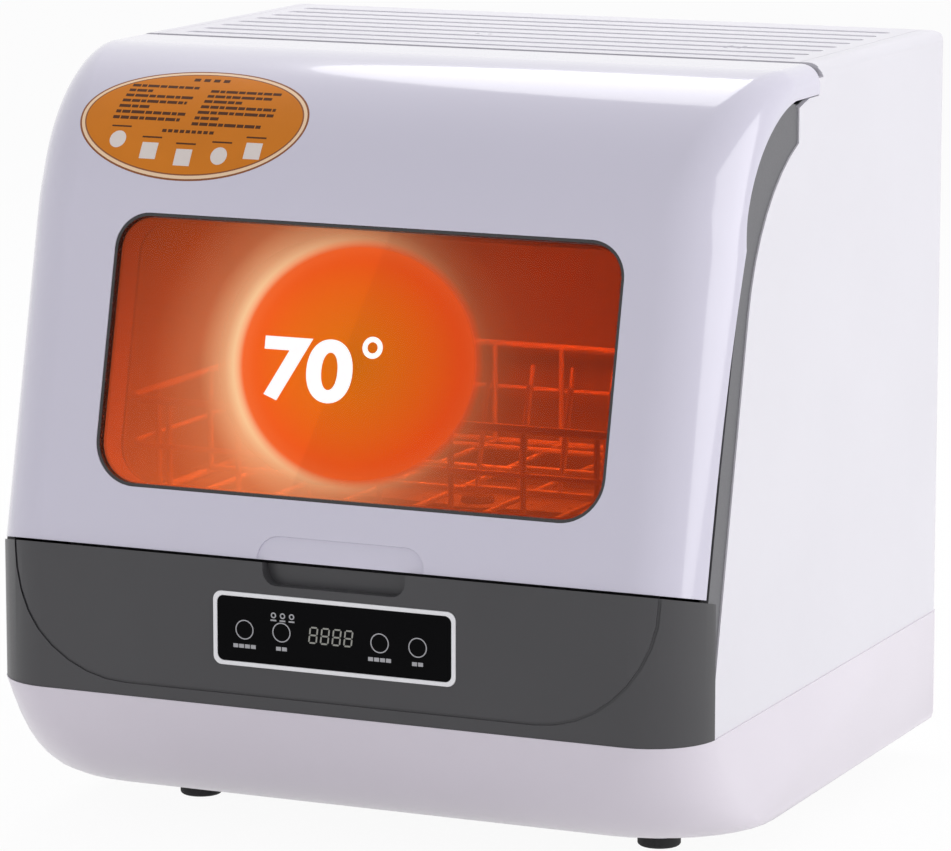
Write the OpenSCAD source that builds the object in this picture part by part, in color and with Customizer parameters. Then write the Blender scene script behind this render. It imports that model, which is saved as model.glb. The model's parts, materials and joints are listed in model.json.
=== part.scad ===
// Countertop dishwasher: a lift-up front door with a window, a touch console below it,
// a pull-out wire rack and the washing, draining and drying gear inside.
// Front towards -Y, +Z up, origin on the floor under the middle of the body.

/* [Body] */
// Width over the base
body_w = 420; // [412:1:430]
// Depth from the console to the back
body_d = 396; // [392:1:410]
// Height from the floor to the top
body_h = 427; // [424:1:436]
// Height of the feet below the base
foot_h = 21; // [18:0.5:24]
// Height of the seam between base and console
base_z = 86; // [82:1:90]
// Height of the lower edge of the door
door_z = 168; // [166:1:171]
// Wall of the outer mouldings
wall = 3; // [2.6:0.1:3.2]
// Radius of the front corners seen from above
front_r = 38; // [34:1:40]
// Radius of the base's corners at its underside
base_r = 66; // [50:1:72]
// Radius of the undercut along the base's front
undercut_r = 70; // [67:1:74]
// Radius of the top and rear edges
edge_r = 9; // [7:0.5:10]
// How far the side panels stand in from the base
panel_step = 0.8; // [0.4:0.1:1.2]

/* [Door] */
// Lean of the door's flat front from upright, in degrees
lean = 13.2; // [12.6:0.1:13.6]
// Radius of the bend into the flat top
bend_r = 104; // [102:1:106]
// How far the door's lower edge stands behind the console
door_set = 3; // [2:0.5:4]
// Depth of the door's rear edge, from the front
door_back = 182.5; // [181:0.5:184]
// Radius of the door's top corners at its rear edge
door_rear_r = 11; // [9:1:13]
// Opening angle of the door, which sets the gap behind it
door_angle = 75; // [60:1:78]
// Margin between the window and the door's side, on average
window_side = 60; // [57:1:80]
// Distance of the window from the start of the door's bend
window_top = 1.6; // [1.6:0.5:20]
// Distance of the window from the door's lower edge
window_low = 33; // [31:1:36]
// How far the window, grip and console sit to the right of the middle
front_shift = 5; // [0:1:6]
// Outside to inside of the door, to the liner's plate
door_thick = 28; // [27:0.5:28]

/* [Console] */
// Width of the touch panel over its frame
panel_w = 143; // [130:1:150]
// Height of the touch panel over its frame
panel_h = 40.5; // [36:0.5:42]
// Height of the touch panel's middle
panel_z = 129.3; // [126:0.5:131]
// Width of the panel's frame
panel_rim = 2.4; // [1.8:0.1:3]
// Depth of the finger grip
grip_depth = 7; // [6:0.5:8]

/* [Tub] */
// Room between the wash tub and the casing at each side
side_room = 30.2; // [28.7:0.5:32.7]
// Room between the tub and the back cover
rear_room = 58; // [57:0.5:61]
// Height of the tub's floor
tub_floor = 152.5; // [150:0.5:154]
// Wall of the tub
tub_wall = 2.5; // [2:0.1:2.6]
// Width of the rim round the tub's mouth
mouth_rim = 10.5; // [9.5:0.5:12.5]
// How far the spray arms' axis stands behind the middle of the tub
arm_shift = 10.5; // [8:0.5:13]
// Gap between the lower spray arm's tips and the rear of the tub
lower_gap = 14.5; // [12:0.5:24]
// Gap between the upper spray arm's tips and the front of the tub
upper_gap = 4.6; // [4:0.1:14]
// Radius of the spray arms' posts
post_r = 8; // [7:0.5:9]
// Radial clearance of what turns on a pin or post
running = 0.06; // [0.03:0.01:0.09]
// Clearance between pieces that move past each other
slip = 0.3; // [0.2:0.05:0.4]

/* [Rack] */
// Gap between the tub's sides and the middle of the rack's side wires
rack_gap = 19.5; // [18.5:0.5:21.5]
// Front of the rack, from the front of the body
rack_front = 66; // [65:0.5:72]
// Gap between the tub's rear and the middle of the rack's rear wire
rack_room = 8.5; // [7:0.5:20]
// Height of the rack between its lowest and highest wire
rack_h = 58; // [50:1:60]
// Radius of the rack's rim wire
rim_wire = 2.2; // [2:0.1:2.4]
// Radius of the rack's other wires
wire = 1.6; // [1.4:0.1:1.8]

/* [Hidden] */
$fn = 64;

shell_white = "gainsboro";
trim_grey = "dimgray";
steel = "silver";
inner_grey = "slategray";

// Every piece is drawn with y counted from the front of the body.
module placed() translate([0, -body_d / 2, 0]) children();
module mirrored() for (m = [0, 1]) mirror([m, 0, 0]) children();

// ---- sizes that follow from those above ----
window_w = body_w - 2 * window_side;
liner_half = body_w / 2 - 24;
casing_half = body_w / 2 - panel_step;
tub_half = casing_half - wall - side_room - tub_wall;
tub_front = 44;
tub_back = body_d - wall - rear_room;
mouth_half = tub_half - mouth_rim;
flange_half = tub_half + 14.5;
arm_y = (tub_front + tub_back) / 2 + arm_shift;
rack_half = tub_half - rack_gap;
rack_back = tub_back - tub_wall - rack_room;

// ---- the door's side profile: a leaning flat, a bend and a flat top ----
bend_z = body_h - bend_r;
flat_len = (bend_z + bend_r * sin(lean) - door_z) / cos(lean);
bend_y = door_set + flat_len * sin(lean) + bend_r * cos(lean);

// A point [y, z] on the leaning flat, s along it and d inwards, and one on the bend.
function on_flat(s, d) =
    [door_set + s * sin(lean) + d * cos(lean), door_z + s * cos(lean) - d * sin(lean)];
window_h = flat_len - window_low - window_top;
function on_bend(a, d) = [bend_y - (bend_r - d) * cos(a), bend_z + (bend_r - d) * sin(a)];
// The bend is drawn in even steps, so that every layer of the door shares its flats.
bend_n = 12;
function step_angle(k) = lean + (90 - lean) * k / bend_n;
function bend_line(d, k0, k1) = [for (k = [k0:k1]) on_bend(step_angle(k), d)];
// The profile at depth d, from s up the flat to step k of the bend.
function skin(d, s, k) = concat([on_flat(s, d)], bend_line(d, 0, k));
function turned(list) = [for (i = [len(list) - 1:-1:0]) list[i]];
function band(d0, d1, s, k) = concat(skin(d0, s, k), turned(skin(d1, s, k)));

function arc(r, a0, a1, n, c = [0, 0]) =
    [for (i = [0:n]) let (a = a0 + (a1 - a0) * i / n) c + r * [cos(a), sin(a)]];

// A side outline [y, z] drawn across the body, from x0 to x1.
module across(x0, x1) translate([x0, 0, 0]) rotate([90, 0, 90]) linear_extrude(x1 - x0) children();
module centred(half) across(-half, half) children();
// An [x, s] outline drawn on the door's leaning flat, from depth d0 to d1.
module on_door(d0, d1)
    translate([0, door_set, door_z]) rotate([90 - lean, 0, 0])
        translate([0, 0, -d1]) linear_extrude(d1 - d0) children();
// An [x, z] outline drawn from depth y0 to y1.
module backwards(y0, y1) translate([0, y1, 0]) rotate([90, 0, 0]) linear_extrude(y1 - y0) children();

module rounded(w, h, r) {
    square([w - 2 * r, h], center = true);
    square([w, h - 2 * r], center = true);
    for (x = [-1, 1], y = [-1, 1]) translate([x * (w / 2 - r), y * (h / 2 - r)]) circle(r);
}

// A tube along a list of points, with round elbows.
module pipe(points, r) {
    for (i = [0:len(points) - 2]) {
        v = points[i + 1] - points[i];
        translate(points[i])
            rotate([0, acos(v[2] / norm(v)), atan2(v[1], v[0])]) cylinder(r = r, h = norm(v));
    }
    if (len(points) > 2) for (i = [1:len(points) - 2]) translate(points[i]) sphere(r);
}

// ---- base ----
undercut_z = foot_h + undercut_r;
base_fillet = 3;
foot_x = body_w / 2 - 69;
foot_y = [129, body_d - 40];
foot_r = 13;
pad_r = 12;
pad_h = 6;
stud_r = 4;
post_x = tub_half - 23.5;
post_y = [96, tub_back - 22];
base_in = foot_h + wall;

// One level of the base, set in by t: the front corners grow rounder towards the underside.
function base_level(z, t) = let (
    down = (base_z - z) / (base_z - foot_h),
    r = front_r + (base_r - front_r) * pow(max(down, 0), 0.8) - t,
    under = undercut_r - sqrt(max(pow(undercut_r - t, 2) - pow(max(undercut_z - z, 0), 2), 0)),
    low = max(foot_h + base_fillet - z, 0),
    side = base_fillet - sqrt(pow(base_fillet, 2) - low * low),
    x = body_w / 2 - side - t,
    y = body_d - t,
    re = edge_r - min(t, edge_r - 4),
    level = concat(
        arc(r, 180, 270, 9, [-x + r, under + r]), arc(r, 270, 360, 9, [x - r, under + r]),
        arc(re, 0, 90, 3, [x - re, y - re]), arc(re, 90, 180, 3, [-x + re, y - re]))
) [for (p = level) [p[0], p[1], z]];

// Heights that step evenly round the undercut, down from the seam.
function undercut_heights(t, n) = let (top = acos((undercut_z - base_z) / (undercut_r - t)))
    [for (i = [n:-1:0]) undercut_z - (undercut_r - t) * cos(top * i / n)];

// A cup from two stacks of levels, the outer one down and the inner one up again.
module cup(outer, inner) {
    rings = concat(outer, turned(inner));
    n = len(rings[0]);
    points = [for (ring = rings, p = ring) p];
    walls = [for (k = [0:len(rings) - 2], j = [0:n - 1]) if (k != len(outer) - 1)
        for (f = [[k * n + j, (k + 1) * n + (j + 1) % n, (k + 1) * n + j],
                  [k * n + j, k * n + (j + 1) % n, (k + 1) * n + (j + 1) % n]]) f];
    last = (len(rings) - 1) * n;
    rim = [for (j = [0:n - 1]) for (f = [[j, last + (j + 1) % n, (j + 1) % n],
                                         [j, last + j, last + (j + 1) % n]]) f];
    under = (len(outer) - 1) * n;
    floor_in = len(outer) * n;
    polyhedron(points, concat(walls, rim,
        [[for (j = [0:n - 1]) under + j]], [[for (j = [n - 1:-1:0]) floor_in + j]]));
}

module base_tray() color(shell_white) placed() {
    difference() {
        union() {
            cup([for (z = undercut_heights(0, 9)) base_level(z, 0)],
                [for (z = undercut_heights(wall, 7)) base_level(z, wall)]);
            for (y = foot_y) mirrored() translate([foot_x, y, base_in - 1]) cylinder(r = 9, h = 7);
            mirrored() for (y = post_y)
                translate([post_x, y, base_in - 1]) cylinder(r = 7, h = tub_floor - tub_wall - base_in + 1);
        }
        for (y = foot_y) mirrored() translate([foot_x, y, foot_h - 1]) cylinder(r = stud_r, h = 8.5);
    }
}

module foot_cups() color(shell_white) placed()
    for (y = foot_y) mirrored() translate([foot_x, y, 0]) difference() {
        union() {
            translate([0, 0, pad_h]) cylinder(r1 = foot_r - 1, r2 = foot_r, h = foot_h - pad_h);
            translate([0, 0, foot_h]) cylinder(r = stud_r, h = 7);
        }
        translate([0, 0, pad_h - 1]) cylinder(r = stud_r, h = 7);
    }

module foot_pads() color("black") placed()
    for (y = foot_y) mirrored() translate([foot_x, y, 0]) {
        cylinder(r1 = pad_r - 1, r2 = pad_r, h = 1);
        translate([0, 0, 1]) cylinder(r = pad_r, h = pad_h - 1);
        cylinder(r = stud_r, h = pad_h + 5.5);
    }

// ---- outer casing: one rounded box cut into side panels, top and back ----
strip_w = 13.5;
seam = 0.4;
cover_half = casing_half - strip_w;
door_gap = 1.5;
hinge_z = body_h - 7.5;
// The top cover starts behind what the door's rear edge sweeps.
swing_gap = (body_h - hinge_z) * tan(door_angle / 2) + 1.8;
cover_y = door_back + swing_gap;

module casing_solid(t) {
    r = edge_r - t;
    intersection() {
        backwards(-1, body_d + 1) difference() {
            translate([-casing_half + t, base_z]) square([2 * (casing_half - t), body_h - t - base_z]);
            mirrored2() translate([casing_half - edge_r, body_h - edge_r]) corner_cut(r);
        }
        translate([0, 0, base_z]) linear_extrude(body_h) difference() {
            translate([-body_w, -1]) square([2 * body_w, body_d - t + 1]);
            mirrored2() translate([casing_half - edge_r, body_d - edge_r]) corner_cut(r);
        }
        centred(body_w) difference() {
            translate([-1, base_z]) square([body_d - t + 1, body_h - t - base_z]);
            translate([body_d - edge_r, body_h - edge_r]) corner_cut(r);
        }
    }
}
module mirrored2() for (m = [0, 1]) mirror([m, 0]) children();
module corner_cut(r) difference() {
    square(2 * edge_r + 4);
    circle(r);
}

module casing() difference() {
    casing_solid(0);
    casing_solid(wall);
}

// Places along the door's profile: [y, z], the lean, the corner radius and the depth of
// the side flange, which is deepest where the bend starts.
flange_low = 25;
flange_mid = 32;
flange_rear = 16;
function stop_on_bend(k) = let (u = k / bend_n) [on_bend(step_angle(k), 0), step_angle(k),
    front_r + (door_rear_r - front_r) * pow(max(u - 0.15, 0) / 0.85, 1.2),
    flange_mid + (flange_rear - flange_mid) * pow(u, 0.9)];
shell_stops = concat(
    [for (u = [0, 0.35, 0.7, 0.9])
        [on_flat(u * flat_len, 0), lean, front_r, flange_low + (flange_mid - flange_low) * pow(u, 3)]],
    [for (k = [0:bend_n]) stop_on_bend(k)],
    [for (y = [(bend_y + door_back) / 2, door_back]) [[y, body_h], 90, door_rear_r, flange_rear]]);

// Front outline of a side panel: upright beside the console, leaning beside the door,
// curling back under the door's shoulder to a notch, then up round the hinge.
panel_front = 36;
panel_depth = 44.5;
shoulder_r = 117;
shoulder_z = bend_z - 18;
notch_y = bend_y + 7;
function lean_line(z) = door_set + (z - door_z) * tan(lean) + panel_depth / cos(lean);
shoulder_c = [lean_line(shoulder_z) + shoulder_r * cos(lean), shoulder_z - shoulder_r * sin(lean)];
lean_start = door_z + (panel_front - door_set - panel_depth / cos(lean)) / tan(lean);
shoulder_end = acos((shoulder_c[0] - notch_y) / shoulder_r);

curl = arc(shoulder_r, 180 - lean, 180 - shoulder_end, 8, shoulder_c);
panel_edge = concat(
        [[panel_front, base_z - 1], [panel_front, lean_start]], curl,
        [[notch_y, body_h - flange_rear - 4.5], [door_back - 14, body_h - flange_rear - 0.8],
         [door_back + 0.7, body_h - flange_rear - 0.8], [door_back + 0.7, hinge_z]],
        arc(cover_y - door_back, 0, 60, 3, [door_back, hinge_z]),
        [[door_back + (cover_y - door_back) / 2, body_h + 1]]);

module side_panel(sign) mirror([sign < 0 ? 1 : 0, 0, 0]) {
    difference() {
        intersection() {
            casing();
            across(cover_half, body_w) polygon(concat(
                panel_edge, [[body_d + 1, body_h + 1], [body_d + 1, base_z - 1]]));
        }
        // the top strip stops short of what the door's rear edge sweeps
        across(cover_half - 1, casing_half - wall)
            translate([0, hinge_z - 8]) square([cover_y, 20]);
    }
    cover_ledges(9, 0);
    cover_ledges(0, 1);
}
// Ledges that carry the top and back covers, and their roots let into the panel.
module cover_ledges(reach, root) {
    w = reach + 5;
    intersection() {
        casing_solid(wall - root);
        union() {
            translate([cover_half - reach, cover_y + 3, body_h - 2 * wall]) cube([w, body_d, wall + root]);
            translate([cover_half - reach, body_d - 2 * wall, base_z]) cube([w, wall + root, body_h]);
        }
    }
}
module side_panel_left() color(shell_white) placed() side_panel(-1);
module side_panel_right() color(shell_white) placed() side_panel(1);

groove_count = 8;
groove_w = 7;
groove_deep = 1;
groove_first = cover_y + 17;
groove_pitch = (body_d - 35 - groove_first) / (groove_count - 1);
dimples = [[-24, groove_first + 60], [134, groove_first + 44]];
gutter_half = 88;
gutter_r = body_h - hinge_z + 0.6;

module top_cover() color(shell_white) placed() {
    difference() {
        intersection() {
            casing();
            translate([-cover_half + seam, cover_y, body_h - 14])
                cube([2 * (cover_half - seam), body_d, 20]);
        }
        for (i = [0:groove_count - 1]) translate([0, groove_first + i * groove_pitch, body_h - groove_deep])
            linear_extrude(2) {
                square([2 * cover_half - 26, groove_w], center = true);
                mirrored2() translate([cover_half - 13, 0]) circle(groove_w / 2);
            }
        for (c = dimples, x = [-4, 4], y = [-5, 5])
            translate([c[0] + x, c[1] + y, body_h - 1.2]) cylinder(r = 1.5, h = 2);
    }
    // a gutter closes the middle of the seam behind and below the hinge line
    centred(gutter_half) difference() {
        polygon(concat(
            [[cover_y, body_h]],
            arc(gutter_r + 1.6, 0, -80, 8, [door_back, hinge_z]),
            arc(gutter_r, -80, 0, 8, [door_back, hinge_z]),
            [[door_back + gutter_r, body_h - wall]]));
        translate([0, body_h]) square([body_d, 10]);
    }
}

// ---- back cover with louvres and a service pocket ----
pocket_w = 64;
pocket_x = [-cover_half + 12.7, -cover_half + 12.7 + pocket_w];
pocket_z = [base_z + 10, base_z + 86];
pocket_deep = 22;
fill_at = [pocket_x[0] + pocket_w / 2, pocket_z[1] - 20];
drain_at = [pocket_x[0] + pocket_w / 2, pocket_z[0] + 18];
gland_at = [cover_half - 45.7, base_z + 32];
screw_r = 1.5;
screw_z = [base_z + 24, body_h - 31];
screw_count = 4;
screw_rows = [for (i = [0:screw_count - 1]) screw_z[0] + (screw_z[1] - screw_z[0]) * i / (screw_count - 1)];
louvre_rows = 7;
louvre_w = 56;
louvre_x = [cover_half - 135.7, cover_half - 65.7];
louvre_z = body_h - 127;

module back_cover() color(shell_white) placed() {
    y_in = body_d - wall;
    difference() {
        union() {
            translate([-cover_half + seam, y_in, base_z])
                cube([2 * (cover_half - seam), wall, body_h - 14 - seam - base_z]);
            translate([pocket_x[0] - 2, body_d - pocket_deep - 2, pocket_z[0] - 2])
                cube([pocket_x[1] - pocket_x[0] + 4, pocket_deep, pocket_z[1] - pocket_z[0] + 4]);
        }
        translate([pocket_x[0], body_d - pocket_deep, pocket_z[0]])
            cube([pocket_x[1] - pocket_x[0], pocket_deep + 1, pocket_z[1] - pocket_z[0]]);
        for (i = [0:louvre_rows - 1], x = louvre_x)
            translate([x - louvre_w / 2, y_in - 1, louvre_z + i * 11]) cube([louvre_w, wall + 2, 4]);
        for (p = [fill_at, drain_at]) translate([p[0], body_d - pocket_deep - 3, p[1]])
            rotate([-90, 0, 0]) cylinder(r = 6, h = 6);
        translate([gland_at[0], y_in - 1, gland_at[1]]) rotate([-90, 0, 0]) cylinder(r = 8, h = wall + 2);
        mirrored() for (z = screw_rows) translate([cover_half - 5, y_in - 1, z]) rotate([-90, 0, 0]) {
            cylinder(r = screw_r + 0.2, h = wall + 2);
            translate([0, 0, wall - 0.2]) cylinder(r = 3.4, h = 3);
        }
    }
}

module cover_screws() color(steel) placed() mirrored() for (z = screw_rows)
    translate([cover_half - 5, body_d - wall, z]) rotate([-90, 0, 0]) {
        cylinder(r = screw_r, h = wall);
        translate([0, 0, wall - 1.2]) difference() {
            cylinder(r = 3.2, h = 1.2);
            for (a = [0, 90]) rotate([0, 0, a]) translate([-1.8, -0.4, 0.6]) cube([3.6, 0.8, 1]);
        }
    }

module spigot(at, r, bead) translate([at[0], body_d - pocket_deep, at[1]]) rotate([-90, 0, 0]) difference() {
    union() {
        cylinder(r = r + 4, h = 3);
        cylinder(r = r, h = pocket_deep - 3);
        translate([0, 0, -2]) cylinder(r = 5.8, h = 3);
    }
    translate([0, 0, -3]) cylinder(r = bead, h = pocket_deep + 3);
}
fill_r = 10;
drain_r = 9;
module fill_spigot() color(shell_white) placed() spigot(fill_at, fill_r, 4.6);
module drain_spigot() color(inner_grey) placed() spigot(drain_at, drain_r, 4.4);

module cord_gland() color("black") placed()
    translate([gland_at[0], body_d - wall, gland_at[1]]) rotate([-90, 0, 0]) difference() {
        union() {
            cylinder(r = 8, h = wall);
            translate([0, 0, -3]) cylinder(r = 10.5, h = 3);
            translate([0, 0, wall - 0.8]) cylinder(r = 8, h = 0.8);
        }
        translate([0, 0, -4]) cylinder(r = 3.6, h = wall + 6);
    }

// ---- front console with its side arms ----
fascia_set = 0.8;
groove_band = 1.6;
crease_half = body_w / 2 - 19;
crease_low = base_z + 7;
crease_r = 70;
grip_w = [84, 100];
grip_low = door_z - 13.5;
grip_r = 8;
arm_x = [casing_half - 2 * wall, casing_half - 0.9];

// The console's outline from above, set in by t.
function front_plan(t) = let (x = body_w / 2 - front_r, y = fascia_set + front_r, r = front_r - t)
    concat([[-x - r, 2 * front_r]], arc(r, 180, 270, 9, [-x, y]), arc(r, 270, 360, 9, [x, y]),
        [[x + r, 2 * front_r]]);
// Everything below the plane that the door's lower edge faces, less t.
shelf_z = door_z - door_gap / cos(lean) + door_set * tan(lean);
function shelf_at(y, t) = shelf_z - t - y * tan(lean);
module under_shelf(t, back) centred(body_w) polygon([[-5, base_z - t], [back, base_z - t],
    [back, shelf_at(back, t)], [-5, shelf_at(-5, t)]]);

module crease_shape(half) {
    r = crease_r - crease_half + half;
    low = crease_low + crease_half - half;
    polygon(concat([[-half, body_h]], arc(r, 180, 270, 9, [-half + r, low + r]),
        arc(r, 270, 360, 9, [half - r, low + r]), [[half, body_h]]));
}

module panel_shape(t) translate([front_shift, panel_z]) rounded(panel_w - 2 * t, panel_h - 2 * t, 5 - t / 2);

module grip_shape(t) {
    x = grip_w[0] / 2 - t;
    r = grip_r - t / 2;
    low = grip_low + t;
    translate([front_shift, 0]) polygon(concat([[-x, low + 40]], arc(r, 180, 270, 4, [-x + r, low + r]),
        arc(r, 270, 360, 4, [x - r, low + r]), [[x, low + 40]]));
}

// The side arm fills the strip between the door's flange and the side panel.
arm_gap = 1.2;
flange_line = [for (s = shell_stops) if (s[0][0] < notch_y - 4)
    s[0] + (s[3] + arm_gap) * [cos(s[1]), -sin(s[1])]];
module arm_strip(back) polygon(concat(
    [[panel_front - 2, base_z + 42], [panel_front - 2, base_z + 70], on_flat(-2.5, flange_low + arm_gap)], flange_line,
    [[notch_y - slip + back, body_h - flange_rear - arm_gap - 3.5],
     [notch_y - slip + back, curl[8][1] - back / 3]],
    turned([for (p = curl) p + [back - slip, -back / 3]]),
    [[panel_front + back - slip, lean_start - back / 3], [panel_front - 2, lean_start - back / 3]]));

module fascia() color(trim_grey) placed() {
    front = panel_front - 0.4;
    difference() {
        union() {
            intersection() {
                difference() {
                    linear_extrude(body_h) polygon(front_plan(0));
                    intersection() {
                        linear_extrude(body_h) polygon(front_plan(wall));
                        under_shelf(wall, front + 5);
                    }
                }
                under_shelf(0, front);
            }
            // pad behind the grip
            intersection() {
                backwards(fascia_set + 1, fascia_set + grip_depth + 2) grip_shape(-2);
                under_shelf(0, front);
            }
        }
        // styling crease, cut from the outer face only
        intersection() {
            translate([0, 0, base_z]) linear_extrude(body_h) difference() {
                polygon(front_plan(-1));
                polygon(front_plan(0.9));
            }
            backwards(-5, front + 1) difference() {
                crease_shape(crease_half);
                crease_shape(crease_half - groove_band);
            }
        }
        backwards(fascia_set - 2, fascia_set + grip_depth) grip_shape(0);
        backwards(fascia_set - 2, fascia_set + 1.6) panel_shape(-0.1);
        backwards(-1, panel_front) panel_shape(panel_rim + 1.2);
    }
    mirrored() {
        across(arm_x[0], arm_x[1]) arm_strip(0);
        across(arm_x[0], casing_half - wall) arm_strip(12);
    }
}

module control_frame() color("white") placed() difference() {
    backwards(0, fascia_set + 1.6) panel_shape(0);
    backwards(-1, 5) panel_shape(panel_rim);
}

module control_glass() color("black") placed() {
    backwards(0.5, fascia_set + 1.6) panel_shape(panel_rim + 0.05);
    backwards(fascia_set + 1.6, fascia_set + wall) panel_shape(panel_rim + 1.3);
}

digit_w = 8.6;
module display_module() color("dimgray") placed() translate([front_shift, 0, panel_z]) {
    translate([-digit_w * 2 - 2, fascia_set + wall, -7]) cube([digit_w * 4 + 4, 7, 14]);
}

board_y = fascia_set + wall + 7;
key_x = [-51, -29, 28, 50];
module control_board() color("darkgreen") placed() translate([front_shift, 0, panel_z]) {
    translate([-panel_w / 2, board_y, -17]) cube([panel_w, 1.6, 34]);
    // touch springs behind the four keys
    for (x = key_x) translate([x, board_y, 0]) rotate([90, 0, 0])
        cylinder(r = 5, h = 6.9);
    for (x = [-60, 60]) translate([x, board_y + 1.6, -6]) cube([6, 8, 12]);
}

magnet_x = liner_half - 46;
module reed_sensor() color("black") placed()
    translate([0, door_set, door_z]) rotate([90 - lean, 0, 0])
        translate([magnet_x - 9, -door_gap - wall - 6, -18]) cube([18, 6, 7]);

module door_stops() color("black") placed()
    translate([0, door_set, door_z]) rotate([90 - lean, 0, 0])
        mirrored() translate([liner_half - 36, -door_gap, -14]) rotate([-90, 0, 0])
            cylinder(r = 4, h = door_gap - 0.3);

// ---- wash tub ----
flange_d = [31.5, 34];
mouth_low = 12;
mouth_top = 6;
tub_top_z = body_h - flange_d[1];
filter_y = tub_front + 56;
filter_r = 36;
blower_y = tub_back - 47;
blower_z = tub_top_z - 103;
vent_y = [for (d = [80, 74, 68]) blower_y - d];

function tub_outline(t) = concat(
    [[tub_front + t, tub_floor - tub_wall + t], on_flat(6, flange_d[1] + t)],
    bend_line(flange_d[1] + t, 0, bend_n),
    [[tub_back - t, tub_top_z - t], [tub_back - t, tub_floor - tub_wall + t]]);

module tub() color("whitesmoke") placed() difference() {
    union() {
        centred(tub_half + tub_wall) polygon(tub_outline(0));
        centred(flange_half) polygon(band(flange_d[0], flange_d[1] + 0.5, 1.5, 8));
        // seat of the upper hub and the hinge brackets' pads
        translate([0, arm_y, tub_top_z - tub_wall]) cylinder(r = 16, h = tub_wall + 2);
    }
    centred(tub_half) polygon(tub_outline(tub_wall));
    centred(mouth_half) polygon(band(flange_d[0] - 5, flange_d[1] + 8, mouth_low, mouth_top));
    translate([0, filter_y, tub_floor - 20]) cylinder(r = filter_r + 1.5, h = 30);
    translate([0, arm_y, tub_floor - 20]) cylinder(r = 12, h = 30);
    translate([0, arm_y, tub_top_z - 10]) cylinder(r = 6, h = 20);
    for (y = vent_y) translate([tub_half - 1, y, blower_z + 28]) cube([6, 5, 22]);
}

module door_gasket() color("black") placed() difference() {
    centred(flange_half - 6) polygon(band(door_thick + slip, flange_d[0], 4, 7));
    centred(mouth_half + 7) polygon(band(door_thick - 5, flange_d[0] + 5, mouth_low - 1.5, mouth_top));
}

rail_z = [tub_floor + 20.5, tub_floor + 24.5];
rail_front = tub_front + 4;
module rack_rails() color("whitesmoke") placed() mirrored() difference() {
    translate([tub_half - 23.5, rail_front, rail_z[0]])
        cube([23.5, tub_back - tub_wall - rail_front, rail_z[1] - rail_z[0]]);
    // drain slots
    for (y = [rail_front + 32:40:tub_back - 35]) translate([tub_half - 8, y, rail_z[0] - 1]) cube([5, 22, 8]);
}

sump_low = tub_floor - 48.5;
sump_in = sump_low + 3;
outlet_z = sump_low + 18;
outlet_x = filter_r + 14;
module sump_well() color(inner_grey) placed() translate([0, filter_y, 0]) difference() {
    union() {
        translate([0, 0, sump_low]) cylinder(r = filter_r + 5, h = tub_floor - tub_wall - sump_low);
        translate([0, 0, tub_floor - tub_wall - 3]) cylinder(r = filter_r + 10, h = 3);
        translate([0, 0, outlet_z]) rotate([0, 90, 0]) cylinder(r = 8, h = outlet_x);
    }
    translate([0, 0, sump_in]) cylinder(r = filter_r + 2, h = 60);
    translate([0, 0, outlet_z]) rotate([0, 90, 0]) cylinder(r = 5.5, h = outlet_x + 6);
}

module sump_filter() color(steel) placed() translate([0, filter_y, 0]) {
    top = tub_floor + 1.5;
    r = filter_r - 2;
    difference() {
        translate([0, 0, sump_in + slip]) cylinder(r = r, h = top - sump_in - slip);
        translate([0, 0, sump_in + 3]) cylinder(r = r - 2, h = 60);
        for (a = [0:45:135], z = [sump_in + 11, sump_in + 24]) translate([0, 0, z]) rotate([0, 0, a])
            cube([100, 13, 7], center = true);
    }
    // rim with a cross grip
    difference() {
        translate([0, 0, top - 2]) cylinder(r = filter_r + 1, h = 2.6);
        translate([0, 0, top - 3]) cylinder(r = r - 3, h = 5);
    }
    translate([-r + 1, -2, top - 1.4]) cube([2 * r - 2, 4, 5]);
    translate([0, 0, top - 1.4]) cylinder(r = 8, h = 6);
}

arm_low = tub_floor + 7.5;
lower_reach = tub_back - tub_wall - arm_y - lower_gap;
arm_thick = 8;
hub_low = tub_floor - 12.5;
module lower_spray_hub() color(inner_grey) placed() translate([0, arm_y, 0]) difference() {
    union() {
        translate([0, 0, tub_floor]) cylinder(r = 22, h = 3);
        translate([0, 0, tub_floor]) cylinder(r = 13, h = arm_low - slip - tub_floor);
        translate([0, 0, tub_floor]) cylinder(r = post_r, h = arm_low + arm_thick + 4 - tub_floor);
        translate([0, 0, arm_low + arm_thick + slip]) cylinder(r1 = post_r + 2, r2 = post_r, h = 4 - slip);
        translate([0, 0, hub_low]) cylinder(r = 11.8, h = tub_floor + 1.5 - hub_low);
    }
    translate([0, 0, hub_low - 10]) cylinder(r = post_r - 3, h = arm_low - hub_low + 13);
}

arm_high = tub_top_z - tub_wall - 16.5;
// Where the tub's curved front wall is at the level of the upper arm's top.
tub_bend_r = bend_r - flange_d[1] - tub_wall;
tub_front_high = bend_y - sqrt(pow(tub_bend_r, 2) - pow(arm_high + arm_thick - bend_z, 2));
upper_reach = arm_y - tub_front_high - upper_gap;
module upper_spray_hub() color(inner_grey) placed() translate([0, arm_y, 0]) {
    top = tub_top_z - tub_wall;
    difference() {
        union() {
            translate([0, 0, top - 3]) cylinder(r = 20, h = 3);
            translate([0, 0, arm_high + arm_thick + slip])
                cylinder(r = 12, h = top - arm_high - arm_thick - slip);
            translate([0, 0, arm_high - 4]) cylinder(r = post_r - 1, h = top - arm_high + 4);
            translate([0, 0, arm_high - 4]) cylinder(r1 = post_r - 1, r2 = post_r + 1, h = 4 - slip);
            translate([0, 0, top]) cylinder(r = 5.8, h = tub_wall + 2);
        }
        translate([0, 0, arm_high + 4]) cylinder(r = 4, h = 60);
    }
}

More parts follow.
